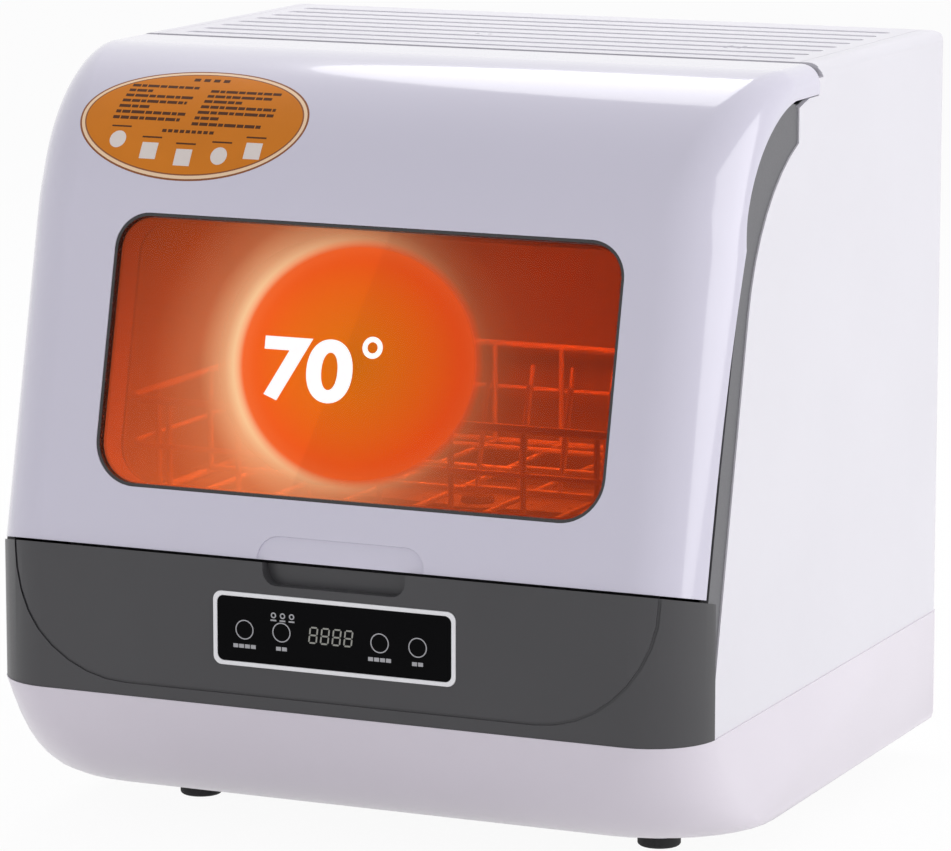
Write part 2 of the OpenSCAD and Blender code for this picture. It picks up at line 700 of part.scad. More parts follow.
// A spray arm: a tapered hollow-looking bar with a round hub and a row of jets on each side.
module spray_arm(reach, bore, tip) {
    difference() {
        union() {
            mirrored() linear_extrude(arm_thick)
                polygon([[-1, -15], [reach - tip, -tip], [reach - tip, tip], [-1, 15]]);
            mirrored() translate([reach - tip, 0, 0]) cylinder(r = tip, h = arm_thick);
            cylinder(r = 19, h = arm_thick);
        }
        translate([0, 0, -1]) cylinder(r = bore, h = arm_thick + 2);
        for (m = [-1, 1], i = [0:3]) translate([m * (32 + i * (reach - 46) / 3), m * (3 - i), -1])
            cylinder(r = 1.4, h = arm_thick + 2);
    }
}
module lower_spray_arm() color("gray") placed() translate([0, arm_y, arm_low])
    spray_arm(lower_reach, post_r + running, 9);
module upper_spray_arm() color("gray") placed() translate([0, arm_y, arm_high])
    spray_arm(upper_reach, post_r - 1 + running, 8);

feed_y = tub_back + 8.5;
feed_z = tub_top_z + 10;
module spray_feed_pipe() color(inner_grey) placed()
    difference() {
        union() {
            pipe([[0, arm_y + volute_r, hose_z], [0, feed_y, hose_z], [0, feed_y, feed_z], [0, arm_y, feed_z],
                  [0, arm_y, tub_top_z + 2]], 6);
            translate([0, arm_y, tub_top_z + 2]) cylinder(r = 10, h = 3);
        }
        pipe([[0, feed_y, hose_z + 28], [0, feed_y, feed_z - 12]], 4);
    }

// ---- pumps and heater in the base ----
volute_r = 36;
motor_r = 31;
mount_h = 10;
volute_z = [tub_floor - 54.5, tub_floor - 24.5];
hose_z = volute_z[0] + 14;
module pump_volute() color(inner_grey) placed() translate([0, arm_y, 0]) {
    difference() {
        union() {
            translate([0, 0, volute_z[0]]) cylinder(r = volute_r, h = volute_z[1] - volute_z[0]);
            translate([0, 0, volute_z[1]]) cylinder(r1 = volute_r - 8, r2 = 15, h = 9);
            translate([0, 0, volute_z[1]]) cylinder(r = 15, h = tub_floor - tub_wall - volute_z[1]);
        }
        translate([0, 0, hub_low - 0.2]) cylinder(r = 12, h = 30);
    }
    for (a = [30:60:330]) rotate([0, 0, a]) translate([volute_r - 4, -1.5, volute_z[1]]) cube([3, 3, 4]);
}
module pump_motor() color("darkgray") placed() translate([0, arm_y, 0]) {
    neck = 6;
    translate([0, 0, base_in + mount_h]) cylinder(r = motor_r, h = volute_z[0] - neck - base_in - mount_h);
    translate([0, 0, volute_z[0] - neck]) cylinder(r = motor_r - 6, h = neck);
    for (a = [0:30:330]) rotate([0, 0, a]) translate([motor_r - 1, -1, base_in + mount_h + 6]) cube([3, 2, 34]);
}
module pump_mount() color("black") placed() translate([0, arm_y, base_in])
    for (a = [0:120:240]) rotate([0, 0, a]) translate([motor_r - 10, 0, 0]) difference() {
        cylinder(r = 8, h = mount_h);
        translate([0, 0, -1]) cylinder(r = 2.5, h = mount_h - 2);
    }
module drain_pump() color("dimgray") placed() translate([outlet_x, filter_y, outlet_z]) rotate([0, 90, 0]) {
    cylinder(r = 20, h = 18);
    translate([0, 0, 18]) cylinder(r = 17, h = 34);
    for (a = [0:45:315]) rotate([0, 0, a]) translate([18, -1, 2]) cube([4, 2, 14]);
}
heater_r = 20;
heater_x = -96;
heater_len = 100;
heater_lift = 5;
module water_heater() color(steel) placed()
    translate([heater_x, arm_y - heater_len / 2, base_in + heater_lift + heater_r]) {
        rotate([-90, 0, 0]) cylinder(r = heater_r, h = heater_len);
        for (y = [14, heater_len - 24]) translate([-14, y, -heater_r - heater_lift]) cube([28, 10, 12]);
    }
module pump_hose() color("black") placed()
    pipe([[-volute_r, arm_y, hose_z], [heater_x, arm_y, hose_z],
        [heater_x, arm_y, base_in + heater_lift + 2 * heater_r]], 7);

tank_half = -pocket_x[1] - 7;
tank_top = tub_top_z - 9;
tank_wall = 2.5;
module water_tank() color("aliceblue") placed() {
    y0 = feed_y + 8;
    depth = body_d - wall - 1 - y0;
    tall = tank_top - base_in;
    difference() {
        translate([-tank_half, y0, base_in]) cube([2 * tank_half, depth, tall]);
        translate([-tank_half + tank_wall, y0 + tank_wall, base_in + tank_wall])
            cube([2 * (tank_half - tank_wall), depth - 2 * tank_wall, tall - 2 * tank_wall]);
        translate([-tank_half + 32, y0 + depth / 2, tank_top - 10]) cylinder(r = 9, h = 20);
        translate([tank_half - 42, y0 + depth / 2, tank_top - 10]) cylinder(r = 6, h = 20);
    }
}

board_size = [104, 70, 30];
fin_count = 7;
module power_board() color("dimgray") placed()
    translate([tub_half - 3.5 - board_size[0], tub_back - 33 - board_size[1], base_in]) difference() {
        cube(board_size);
        for (i = [0:fin_count - 1]) translate([8 + i * 14, 8, board_size[2] - 8])
            cube([6, board_size[1] - 16, 12]);
    }

// ---- drying blower beside the tub ----
blower_r = 41;
blower_x = [tub_half + tub_wall, casing_half - wall - 1.5];
wheel_r = 33;
shaft_r = 2;

module snail(x0, x1, t) across(x0, x1) {
    translate([blower_y, blower_z]) circle(blower_r - t);
    translate([blower_y - 62, blower_z + 12 + t]) square([62, 29 - 2 * t]);
}
module blower_housing() color("gray") placed() difference() {
    snail(blower_x[0], blower_x[1], 0);
    difference() {
        snail(blower_x[0] + 2, blower_x[1] - 2, 2);
        translate([blower_x[0] - 10, blower_y - 64, blower_z]) cube([80, 4, 60]);
    }
    translate([blower_x[0] + 2, blower_y, blower_z]) rotate([0, 90, 0]) cylinder(r = 18, h = 60);
    translate([blower_x[0] + 2, blower_y - 70, blower_z + 14]) cube([blower_x[1] - blower_x[0] - 4, 20, 25]);
}
module blower_motor() color("black") placed() translate([blower_x[0] + 2, blower_y, blower_z])
    rotate([0, 90, 0]) {
        cylinder(r = 12, h = 8);
        cylinder(r = shaft_r, h = 21);
    }
module blower_wheel() color("whitesmoke") placed() translate([blower_x[0] + 11, blower_y, blower_z])
    rotate([0, 90, 0]) difference() {
        union() {
            cylinder(r = wheel_r, h = 1.5);
            cylinder(r = 6, h = 9);
            for (a = [0:24:336]) rotate([0, 0, a]) translate([wheel_r - 10, 0, 0]) rotate([0, 0, 28])
                translate([0, -0.6, 0]) cube([9, 1.2, 12]);
            difference() {
                translate([0, 0, 10.5]) cylinder(r = wheel_r, h = 1.5);
                translate([0, 0, 9]) cylinder(r = wheel_r - 8, h = 5);
            }
        }
        translate([0, 0, -1]) cylinder(r = shaft_r + running, h = 20);
    }
duct_len = 22;
duct_wall = 3;
module air_duct() color("gray") placed()
    translate([blower_x[0], blower_y - 62 - duct_len, blower_z + 22]) difference() {
        cube([blower_x[1] - blower_x[0], duct_len, 34]);
        translate([-1, duct_wall, duct_wall])
            cube([blower_x[1] - blower_x[0] - 1, duct_len, 34 - 2 * duct_wall]);
    }

module tub_lamp() color("orange") placed()
    translate([63.5 - tub_half, arm_y + 50, tub_top_z - tub_wall - 4]) {
        cylinder(r1 = 11, r2 = 14, h = 4);
        translate([0, 0, -1]) cylinder(r = 8, h = 2);
    }

// ---- hinge ----
pin_r = 2.5;
knuckle_r = 4.4;
bracket_x = [tub_half - 10, tub_half - 6];
door_arm_x = [bracket_x[1] + slip, bracket_x[1] + slip + 4];

module hinge_bracket(sign) mirror([sign < 0 ? 1 : 0, 0, 0]) difference() {
    union() {
        across(bracket_x[0], bracket_x[1]) {
            translate([door_back, hinge_z]) circle(knuckle_r);
            polygon([[door_back - 3.6, hinge_z - 2.6], [door_back - 3.6, tub_top_z], [door_back + 28, tub_top_z],
                     [door_back + 28, tub_top_z + 6], [door_back + 3.4, hinge_z - 2.8]]);
        }
        translate([bracket_x[1] - 17.5, door_back - 3.6, tub_top_z]) cube([17.5, 31.6, 3]);
    }
    translate([bracket_x[0] - 1, door_back, hinge_z]) rotate([0, 90, 0]) cylinder(r = pin_r, h = 10);
    for (y = [5, 20]) translate([bracket_x[0] - 7.5, door_back + y, tub_top_z - 1]) cylinder(r = 2, h = 6);
}
module hinge_bracket_left() color(steel) placed() hinge_bracket(-1);
module hinge_bracket_right() color(steel) placed() hinge_bracket(1);

module hinge_pins() color(steel) placed() mirrored()
    translate([bracket_x[0] - 1.5, door_back, hinge_z]) rotate([0, 90, 0]) {
        cylinder(r = pin_r, h = door_arm_x[1] - bracket_x[0] + 3);
        translate([0, 0, -1]) cylinder(r = pin_r + 1, h = 2.2);
    }

module door_arm(sign) mirror([sign < 0 ? 1 : 0, 0, 0]) difference() {
    union() {
        across(door_arm_x[0], door_arm_x[1]) {
            translate([door_back, hinge_z]) circle(knuckle_r);
            translate([bend_y, body_h - wall - 6]) square([door_back - bend_y, 6]);
            polygon(concat(bend_line(wall, 7, bend_n), turned(bend_line(wall + 6, 7, bend_n))));
        }
        translate([door_arm_x[0], bend_y + 2, body_h - wall - 2]) cube([16, 24, 2]);
    }
    translate([door_arm_x[0] - 1, door_back, hinge_z]) rotate([0, 90, 0]) cylinder(r = pin_r + running, h = 10);
    translate([door_arm_x[0] + 10, bend_y + 14, body_h - 10]) cylinder(r = 2, h = 10);
}
module door_arm_left() color(steel) placed() door_arm(-1);
module door_arm_right() color(steel) placed() door_arm(1);

// ---- door ----
// One cross-section of the door's shell at a place on the profile: p is the outer point
// [y, z], a the lean there, r the corner radius and e how far the side flange reaches in.
function section(p, a, r, e, t) = let (
    turn = acos(max(min((r - e + 0.6) / (r - t), 1), 0)),
    n = 9,
    half = concat(
        [for (i = [0:n]) let (b = turn * i / n)
            [body_w / 2 - r + (r - t) * sin(b), r - (r - t) * cos(b)]],
        [[body_w / 2 - r + (r - t) * sin(turn), e]]),
    all = concat([for (q = turned(half)) [-q[0], q[1]]], half)
) [for (q = all) [q[0], p[0] + q[1] * cos(a), p[1] - q[1] * sin(a)]];

// A shell from two stacks of open sections, outer and inner, closed round its rims.
module open_shell(outer, inner) {
    rows = len(outer);
    n = len(outer[0]);
    points = [for (s = concat(outer, inner), p = s) p];
    far = rows * n;
    function quad(a, b, c, d) = [[a, b, c], [a, c, d]];
    faces = concat(
        [for (k = [0:rows - 2], j = [0:n - 2])
            for (f = quad(k * n + j, (k + 1) * n + j, (k + 1) * n + j + 1, k * n + j + 1)) f],
        [for (k = [0:rows - 2], j = [0:n - 2])
            for (f = quad(far + k * n + j, far + k * n + j + 1, far + (k + 1) * n + j + 1, far + (k + 1) * n + j)) f],
        [for (j = [0:n - 2]) for (f = quad(j, j + 1, far + j + 1, far + j)) f],
        [for (j = [0:n - 2]) let (k = (rows - 1) * n)
            for (f = quad(k + j, far + k + j, far + k + j + 1, k + j + 1)) f],
        [for (k = [0:rows - 2])
            for (f = quad(k * n, far + k * n, far + (k + 1) * n, (k + 1) * n)) f],
        [for (k = [0:rows - 2]) let (m = n - 1)
            for (f = quad(k * n + m, (k + 1) * n + m, far + (k + 1) * n + m, far + k * n + m)) f]);
    polyhedron(points, faces);
}

module window_shape(t) {
    low_r = 25 - t;
    high_r = 20 - t;
    x = window_w / 2 - t;
    y0 = window_low + t;
    y1 = window_low + window_h - t;
    translate([front_shift, 0]) polygon(concat(
        arc(low_r, 180, 270, 8, [-x + low_r, y0 + low_r]), arc(low_r, 270, 360, 8, [x - low_r, y0 + low_r]),
        arc(high_r, 0, 90, 8, [x - high_r, y1 - high_r]), arc(high_r, 90, 180, 8, [-x + high_r, y1 - high_r])));
}

boss_at = [[21 - liner_half, 20], [liner_half - 21, 20], [21 - liner_half, 110], [liner_half - 19, 110],
    [76 - liner_half, 20], [liner_half - 76, 20]];
boss_r = 4;

module door_shell() color("lavender") placed() {
    difference() {
        open_shell(
            [for (s = shell_stops) section(s[0], s[1], s[2], s[3], 0)],
            [for (s = shell_stops) section(s[0], s[1], s[2], s[3], wall)]);
        on_door(-1, wall + 1) window_shape(0);
        // shallow finger dish in the lower edge
        on_door(-1, 0.8) translate([front_shift + 2.5, 0]) {
            translate([-grip_w[1] / 2, -1]) square([grip_w[1], 6]);
            translate([-grip_w[0] / 2 + 3, 0]) square([grip_w[0] - 6, 13]);
            mirrored2() translate([grip_w[0] / 2 - 3, 5]) circle(8);
        }
    }
    on_door(wall - 0.2, door_thick - 2.5) for (p = boss_at) translate(p) difference() {
        circle(boss_r);
        circle(1.4);
    }
}

rim_d = 12;
tunnel_in = 3;
module door_liner() color("whitesmoke") placed() difference() {
    union() {
        difference() {
            centred(liner_half) polygon(concat(skin(rim_d, 4, 7), [on_bend(step_angle(7) + 2, rim_d),
                on_bend(step_angle(7) + 2, door_thick)], turned(skin(door_thick, 4, 7))));
            centred(liner_half - 2.5) polygon(band(rim_d - 3, door_thick - 2.5, 6.5, 7));
        }
        // tunnel between the two panes
        on_door(6.2, door_thick - 2) window_shape(-3);
    }
    on_door(0, door_thick + 2) window_shape(tunnel_in);
    on_door(door_thick - 4.5, door_thick - 1.8) window_shape(1);
    for (p = boss_at) on_door(10, door_thick + 2) translate(p) circle(1.5);
    // keep the tunnel clear of the bend
    centred(body_w) polygon(concat(skin(wall + 0.3, -4, bend_n), [[-60, body_h + 30], [-60, 0]]));
}

seal_w = 1.8;
module window_seal() color("black") placed() {
    on_door(0.6, 6.2) difference() {
        window_shape(0);
        window_shape(seal_w);
    }
    on_door(wall, 6.2) difference() {
        window_shape(-1.5);
        window_shape(1);
    }
}
module window_glass() color("orangered", 0.5) placed() on_door(0.9, 4.6) window_shape(seal_w);
module window_film() color("orange", 0.6) placed() on_door(4.6, 5) window_shape(seal_w + 0.4);
module inner_glass() color("lightblue", 0.4) placed()
    on_door(door_thick - 4.4, door_thick - 2) window_shape(1.4);

module door_magnet() color(steel) placed()
    on_door(14, 20) translate([magnet_x - 6, 6.5]) square([12, 6]);
module liner_screws() color(steel) placed() for (p = boss_at) {
    on_door(door_thick - 12, door_thick) translate(p) circle(1.35);
    on_door(door_thick - 1, door_thick + 0.2) translate(p) circle(1.4);
}

// ---- rack ----
rack_z = rail_z[1] + slip + rim_wire;
rack_corner = 16;
weld = 0.6;
mid_z = 0.56;

// A level loop of wire in three parts, set in by t from the rim's: the straight runs at the
// sides, the straight run at one end, and the four corners.
module loop_sides(z, r, t) for (m = [-1, 1])
    translate([m * (rack_half - t), rack_front + rack_corner, z]) rotate([-90, 0, 0])
        cylinder(r = r, h = rack_back - rack_front - 2 * rack_corner);
module loop_end(z, r, t, end) {
    x = rack_half - rack_corner;
    y = end < 0 ? rack_front + t : rack_back - t;
    translate([-x, y, z]) rotate([0, 90, 0]) cylinder(r = r, h = 2 * x);
}
module loop_corners(z, r, t) for (m = [-1, 1], end = [-1, 1])
    translate([m * (rack_half - rack_corner), (end < 0 ? rack_front : rack_back) - end * rack_corner, z])
        rotate([0, 0, m * end > 0 ? (m > 0 ? 0 : 180) : (m > 0 ? 270 : 90)])
            rotate_extrude(angle = 90) translate([rack_corner - t, 0]) circle(r);

// Bent wires stand inside the loops and cross the floor, one way above the other. Each is
// cut a little above the floor, where the walls are set on.
wall_in = rim_wire + wire - weld;
long_z = rack_z + 0.2;
cross_z = long_z + 2 * wire - weld;
cut_z = rack_z + 6;
long_count = 7;
long_x = rack_half - 26;
long_at = [for (i = [0:long_count - 1]) -long_x + i * 2 * long_x / (long_count - 1)];
cross_y = [rack_front + 34, rack_front + 98, rack_front + 162, rack_back - 34];
tine_rows = [1, 2];
tine_first = 16;
tine_pitch = 25;
tine_count = 6;
tine_r = 1.4;
tine_h = 60;
tine_lean = 14;
tine_bar_z = cross_z + wire + 0.8;

module rack_floor() color(steel) placed() {
    loop_sides(rack_z, rim_wire, 0);
    loop_corners(rack_z, rim_wire, 0);
    for (end = [-1, 1]) loop_end(rack_z, rim_wire, 0, end);
    for (x = long_at) pipe([[x, rack_front + wall_in, cut_z], [x, rack_front + wall_in, long_z],
        [x, rack_back - wall_in, long_z], [x, rack_back - wall_in, cut_z]], wire);
    for (y = cross_y) pipe([[-rack_half + wall_in, y, cut_z], [-rack_half + wall_in, y, cross_z],
        [rack_half - wall_in, y, cross_z], [rack_half - wall_in, y, cut_z]], wire);
    // flat bars that carry the tines
    for (row = tine_rows) translate([tine_first - 6, cross_y[row] - 2.5, cross_z])
        cube([(tine_count - 1) * tine_pitch + 12, 5, tine_bar_z - cross_z]);
}

module upright(x, y) translate([x, y, cut_z]) cylinder(r = wire, h = rack_z + rack_h - cut_z);

module rack_end_walls() color(steel) placed() for (end = [-1, 1]) {
    loop_end(rack_z + rack_h, rim_wire, 0, end);
    loop_end(rack_z + rack_h * mid_z, wire, weld, end);
    for (x = long_at) upright(x, end < 0 ? rack_front + wall_in : rack_back - wall_in);
}

module rack_side_walls() color(steel) placed() {
    loop_sides(rack_z + rack_h, rim_wire, 0);
    loop_sides(rack_z + rack_h * mid_z, wire, weld);
    for (m = [-1, 1], y = cross_y) upright(m * (rack_half - wall_in), y);
}

// the upper loops' corners, each set between the walls' ends
module rack_corners() color(steel) placed() {
    loop_corners(rack_z + rack_h, rim_wire, 0);
    loop_corners(rack_z + rack_h * mid_z, wire, weld);
}

module rack_tines() color(steel) placed()
    for (row = tine_rows, i = [0:tine_count - 1])
        translate([tine_first + i * tine_pitch, cross_y[row], tine_bar_z]) difference() {
            rotate([-tine_lean, 0, 0]) translate([0, 0, -2]) cylinder(r = tine_r, h = tine_h);
            translate([-5, -5, -5]) cube([10, 10, 5]);
        }

basket_w = 50;
basket_l = 120;
basket_h = 78;
basket_x = -rack_half + 9;
basket_y = rack_back - basket_l - 12;
basket_z = cross_z + wire;
module cutlery_basket() color("gray") placed() translate([basket_x, basket_y, basket_z]) difference() {
    cube([basket_w, basket_l, basket_h]);
    for (i = [0:1]) translate([2, 2 + i * (basket_l - 2) / 2, 2]) cube([basket_w - 4, (basket_l - 6) / 2, basket_h]);
    for (i = [0:7]) translate([-1, 6 + i * 14, 14]) cube([basket_w + 2, 8, basket_h - 30]);
    for (i = [0:2]) translate([6 + i * 14, -1, 14]) cube([8, basket_l + 2, basket_h - 30]);
}

base_tray();
foot_cups();
foot_pads();
fascia();
side_panel_left();
side_panel_right();
top_cover();
back_cover();
cover_screws();
control_frame();
control_glass();
display_module();
control_board();
reed_sensor();
door_stops();
tub();
door_gasket();
rack_rails();
sump_well();
sump_filter();
lower_spray_hub();
upper_spray_hub();
lower_spray_arm();
upper_spray_arm();
spray_feed_pipe();
pump_volute();
pump_motor();
pump_mount();
drain_pump();
water_heater();
pump_hose();
water_tank();
fill_spigot();
drain_spigot();
cord_gland();
power_board();
blower_housing();
blower_motor();
blower_wheel();
air_duct();
tub_lamp();
hinge_bracket_left();
hinge_bracket_right();
hinge_pins();
door_shell();
door_liner();
window_seal();
window_glass();
window_film();
inner_glass();
door_arm_left();
door_arm_right();
door_magnet();
liner_screws();
rack_floor();
rack_end_walls();
rack_side_walls();
rack_corners();
rack_tines();
cutlery_basket();
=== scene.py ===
"""Looks for a countertop dishwasher: glossy lift-up door with a glowing window, dark touch
console, moulded casing, and the rack and washing gear inside."""

import json
import math

import bmesh
import bpy
from mathutils import Matrix, Vector


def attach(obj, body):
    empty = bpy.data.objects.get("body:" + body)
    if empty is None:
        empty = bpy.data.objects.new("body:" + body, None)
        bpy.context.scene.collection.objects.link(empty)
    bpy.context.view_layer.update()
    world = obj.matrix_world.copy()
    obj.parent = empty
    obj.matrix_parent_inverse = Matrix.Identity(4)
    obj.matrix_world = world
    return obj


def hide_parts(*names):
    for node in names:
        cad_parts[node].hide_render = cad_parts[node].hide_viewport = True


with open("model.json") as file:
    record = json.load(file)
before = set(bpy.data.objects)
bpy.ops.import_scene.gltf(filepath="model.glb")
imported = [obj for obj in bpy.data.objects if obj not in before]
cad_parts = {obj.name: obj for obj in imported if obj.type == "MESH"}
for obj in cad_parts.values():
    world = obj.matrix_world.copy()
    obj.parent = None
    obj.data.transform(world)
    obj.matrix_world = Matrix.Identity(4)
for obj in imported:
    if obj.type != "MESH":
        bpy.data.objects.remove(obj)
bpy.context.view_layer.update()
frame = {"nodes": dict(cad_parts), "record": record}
NODES = frame["nodes"]
RECORD = frame["record"]
BODY_OF = {n: b for b, held in RECORD["behaviour"]["bodies"].items() for n in held}
SLOT_OF = {s["node"]: s["material_slot"] for s in RECORD["subparts"]}

# ---- sizes that the looks share with the solids, in millimetres ----
MM = 0.001
HALF_W = 210
HALF_D = 198
BODY_H = 427
LEAN = math.radians(13.2)
BEND_R = 104
DOOR_SET = 3
DOOR_Z = 168
DOOR_BACK = 182.5
FRONT_R = 38
REAR_R = 11
WALL = 3
FLANGE_LOW, FLANGE_MID, FLANGE_REAR = 25, 32, 16
BEND_Z = BODY_H - BEND_R
FLAT_LEN = (BEND_Z + BEND_R * math.sin(LEAN) - DOOR_Z) / math.cos(LEAN)
BEND_Y = DOOR_SET + FLAT_LEN * math.sin(LEAN) + BEND_R * math.cos(LEAN)
SHIFT = 5
WINDOW_W, WINDOW_H, WINDOW_LOW = 300, 149, 33
WINDOW_R_LOW, WINDOW_R_HIGH = 25, 20
ARM_START = 37
ALONG = Vector((0, math.sin(LEAN), math.cos(LEAN)))
INWARD = Vector((0, math.cos(LEAN), -math.sin(LEAN)))
DOOR_ORIGIN = Vector((0, DOOR_SET - HALF_D, DOOR_Z))


def on_door(x, s, d=0.0):
    """A point on the door's leaning flat: x across, s up the flat and d inwards."""
    return DOOR_ORIGIN + Vector((x, 0, 0)) + ALONG * s + INWARD * d


def on_front(x, z, y=0.0):
    """A point on the console's front: y is the depth behind the body's front."""
    return Vector((x, y - HALF_D, z))


# ---- materials ----
def new_material(name):
    m = bpy.data.materials.new(name)
    m.use_nodes = True
    return m, m.node_tree, m.node_tree.nodes["Principled BSDF"]


def add(tree, kind, **values):
    n = tree.nodes.new(kind)
    for key, value in values.items():
        if key in n.inputs.keys():
            n.inputs[key].default_value = value
        else:
            setattr(n, key, value)
    return n


def noise(tree, scale, detail=3.0, stretch=(1, 1, 1)):
    """Noise on the piece's own coordinates, in features per metre."""
    co = add(tree, "ShaderNodeTexCoord")
    place = add(tree, "ShaderNodeMapping")
    place.inputs["Scale"].default_value = stretch
    tex = add(tree, "ShaderNodeTexNoise", Scale=scale, Detail=detail, Roughness=0.55)
    tree.links.new(co.outputs["Object"], place.inputs["Vector"])
    tree.links.new(place.outputs["Vector"], tex.inputs["Vector"])
    return tex.outputs["Fac"]


def spread(tree, source, low, high, lo_in=0.3, hi_in=0.7):
    """The source's span from lo_in to hi_in laid out from low to high."""
    r = add(tree, "ShaderNodeMapRange")
    r.inputs["From Min"].default_value = lo_in
    r.inputs["From Max"].default_value = hi_in
    r.inputs["To Min"].default_value = low
    r.inputs["To Max"].default_value = high
    tree.links.new(source, r.inputs["Value"])
    return r.outputs["Result"]


def two_tone(tree, source, a, b):
    """Colour a where the source is 0 and b where it is 1."""
    mix = add(tree, "ShaderNodeMix", data_type="RGBA")
    mix.inputs[6].default_value = (*a, 1)
    mix.inputs[7].default_value = (*b, 1)
    tree.links.new(source, mix.inputs[0])
    return mix.outputs[2]


def shade(colour, k):
    return tuple(min(c * k, 1.0) for c in colour)


def bump(tree, bsdf, source, strength, depth):
    b = add(tree, "ShaderNodeBump", Strength=strength, Distance=depth)
    tree.links.new(source, b.inputs["Height"])
    tree.links.new(b.outputs["Normal"], bsdf.inputs["Normal"])


def finish(name, colour, rough, vary=0.04, cloud=9.0, grain=700.0, grain_up=0.15, depth=4e-5,
           coat=0.0, coat_rough=0.05, metal=0.0, wobble=0.05, stretch=(1, 1, 1), shine=0.5):
    """A moulded, painted or metal surface: slow colour clouds, a fine grain and uneven gloss."""
    m, tree, bsdf = new_material(name)
    clouds = noise(tree, cloud)
    tone = two_tone(tree, spread(tree, clouds, 0, 1), shade(colour, 1 - vary),
                    shade(colour, 1 + vary))
    tree.links.new(tone, bsdf.inputs["Base Color"])
    fine = noise(tree, grain, 2.0, stretch)
    tree.links.new(spread(tree, fine, rough - wobble, rough + wobble), bsdf.inputs["Roughness"])
    bsdf.inputs["Metallic"].default_value = metal
    bsdf.inputs["Coat Weight"].default_value = coat
    bsdf.inputs["Coat Roughness"].default_value = coat_rough
    bsdf.inputs["Specular IOR Level"].default_value = shine
    bump(tree, bsdf, fine, grain_up, depth)
    return m


WHITE = (0.745, 0.73, 0.765)
MATERIALS = {
    "casing_plastic": finish("casing_moulding", WHITE, 0.42, vary=0.012, grain=1600, grain_up=0.10),
    "base_plastic": finish("base_moulding", (0.74, 0.69, 0.75), 0.33, vary=0.015, grain=900,
                           grain_up=0.05, coat=0.25, coat_rough=0.12),
    "door_gloss": finish("door_gloss", (0.66, 0.635, 0.735), 0.16, vary=0.01, cloud=5, grain=25,
                         grain_up=0.03, depth=2e-4, coat=0.7, coat_rough=0.03, wobble=0.02),
    "console_plastic": finish("console_grey", (0.056, 0.055, 0.058), 0.40, vary=0.05, grain=1400,
                              grain_up=0.18, coat=0.12, coat_rough=0.25, shine=0.4),
    "foot_rubber": finish("foot_rubber", (0.018, 0.018, 0.019), 0.78, vary=0.15, grain=900, grain_up=0.5),
    "gasket_rubber": finish("gasket_rubber", (0.03, 0.03, 0.032), 0.62, vary=0.1, grain=700, grain_up=0.35),
    "screw_steel": finish("screw_steel", (0.52, 0.52, 0.53), 0.3, metal=1.0, grain=900, grain_up=0.2),
    "frame_plastic": finish("panel_frame_white", (0.90, 0.90, 0.90), 0.22, vary=0.01, grain=300,
                            grain_up=0.03, coat=0.4),
    "panel_gloss": finish("panel_black", (0.002, 0.002, 0.0025), 0.14, vary=0.2, grain=60,
                          grain_up=0.02, wobble=0.03, shine=0.04),
    "display_plastic": finish("display_body", (0.03, 0.03, 0.03), 0.5, vary=0.1),
    "board": finish("board_green", (0.02, 0.11, 0.05), 0.35, vary=0.25, cloud=120, grain=500,
                    grain_up=0.3),
    "black_plastic": finish("black_moulding", (0.025, 0.025, 0.028), 0.45, vary=0.08, grain=1200,
                            grain_up=0.3),
    "tub_plastic": finish("tub_moulding", (0.30, 0.30, 0.31), 0.34, vary=0.03, grain=500,
                          grain_up=0.08, coat=0.2, coat_rough=0.15),
    "grey_plastic": finish("grey_moulding", (0.13, 0.135, 0.15), 0.42, vary=0.06, grain=1000,
                           grain_up=0.25),
    "filter_steel": finish("filter_steel", (0.55, 0.55, 0.56), 0.30, metal=1.0, vary=0.05, grain=350,
                           stretch=(1, 1, 12), grain_up=0.2),
    "arm_plastic": finish("spray_arm_grey", (0.28, 0.29, 0.31), 0.38, vary=0.05, grain=900,
                          grain_up=0.2),
    "motor_metal": finish("motor_enamel", (0.07, 0.075, 0.085), 0.35, vary=0.08, grain=600,
                          grain_up=0.3, coat=0.2),
    "tank_plastic": finish("tank_moulding", (0.62, 0.68, 0.74), 0.28, vary=0.03, grain=400,
                           grain_up=0.1),
    "lamp_lens": finish("lamp_lens", (0.90, 0.40, 0.12), 0.3, vary=0.05, grain=800, grain_up=0.3),
    "hinge_steel": finish("hinge_steel", (0.45, 0.45, 0.46), 0.33, metal=1.0, vary=0.06, grain=500,
                          stretch=(1, 10, 1), grain_up=0.25),
    "liner_plastic": finish("liner_moulding", (0.70, 0.70, 0.73), 0.38, vary=0.015, grain=900,
                            grain_up=0.12),
    "black_gloss": finish("seal_black", (0.010, 0.010, 0.012), 0.25, vary=0.1, grain=400,
                          grain_up=0.05, coat=0.3),
    "rack_wire": finish("rack_coating", (0.80, 0.80, 0.81), 0.32, vary=0.03, grain=900,
                        grain_up=0.15, coat=0.3),
    "basket_plastic": finish("basket_grey", (0.22, 0.225, 0.25), 0.42, vary=0.05, grain=1100,
                             grain_up=0.3),
}
# a lit copy of the console's grey for its side arms: painted light
ARM_GREY_PAINTED_LIGHT = finish("arm_grey", (0.120, 0.119, 0.127), 0.40, vary=0.03, grain=1400, grain_up=0.15,
                  coat=0.08, coat_rough=0.25, shine=0.3)
PRINT_GREY = finish("print_grey", (0.42, 0.42, 0.43), 0.45, vary=0.03)
DIGIT_GREY = finish("digit_grey", (0.33, 0.33, 0.29), 0.4, vary=0.04)


def lamp_and_painted_glow(material, colour, strength):
    """Makes a finish shine with light of its own: a real glow for the tub lamp's lens, and painted glow for
    the window figures, which are no lamp.
    """
    bsdf = material.node_tree.nodes["Principled BSDF"]
    bsdf.inputs["Emission Color"].default_value = (*colour, 1)
    bsdf.inputs["Emission Strength"].default_value = strength


lamp_and_painted_glow(MATERIALS["lamp_lens"], (1.0, 0.42, 0.12), 3.0)


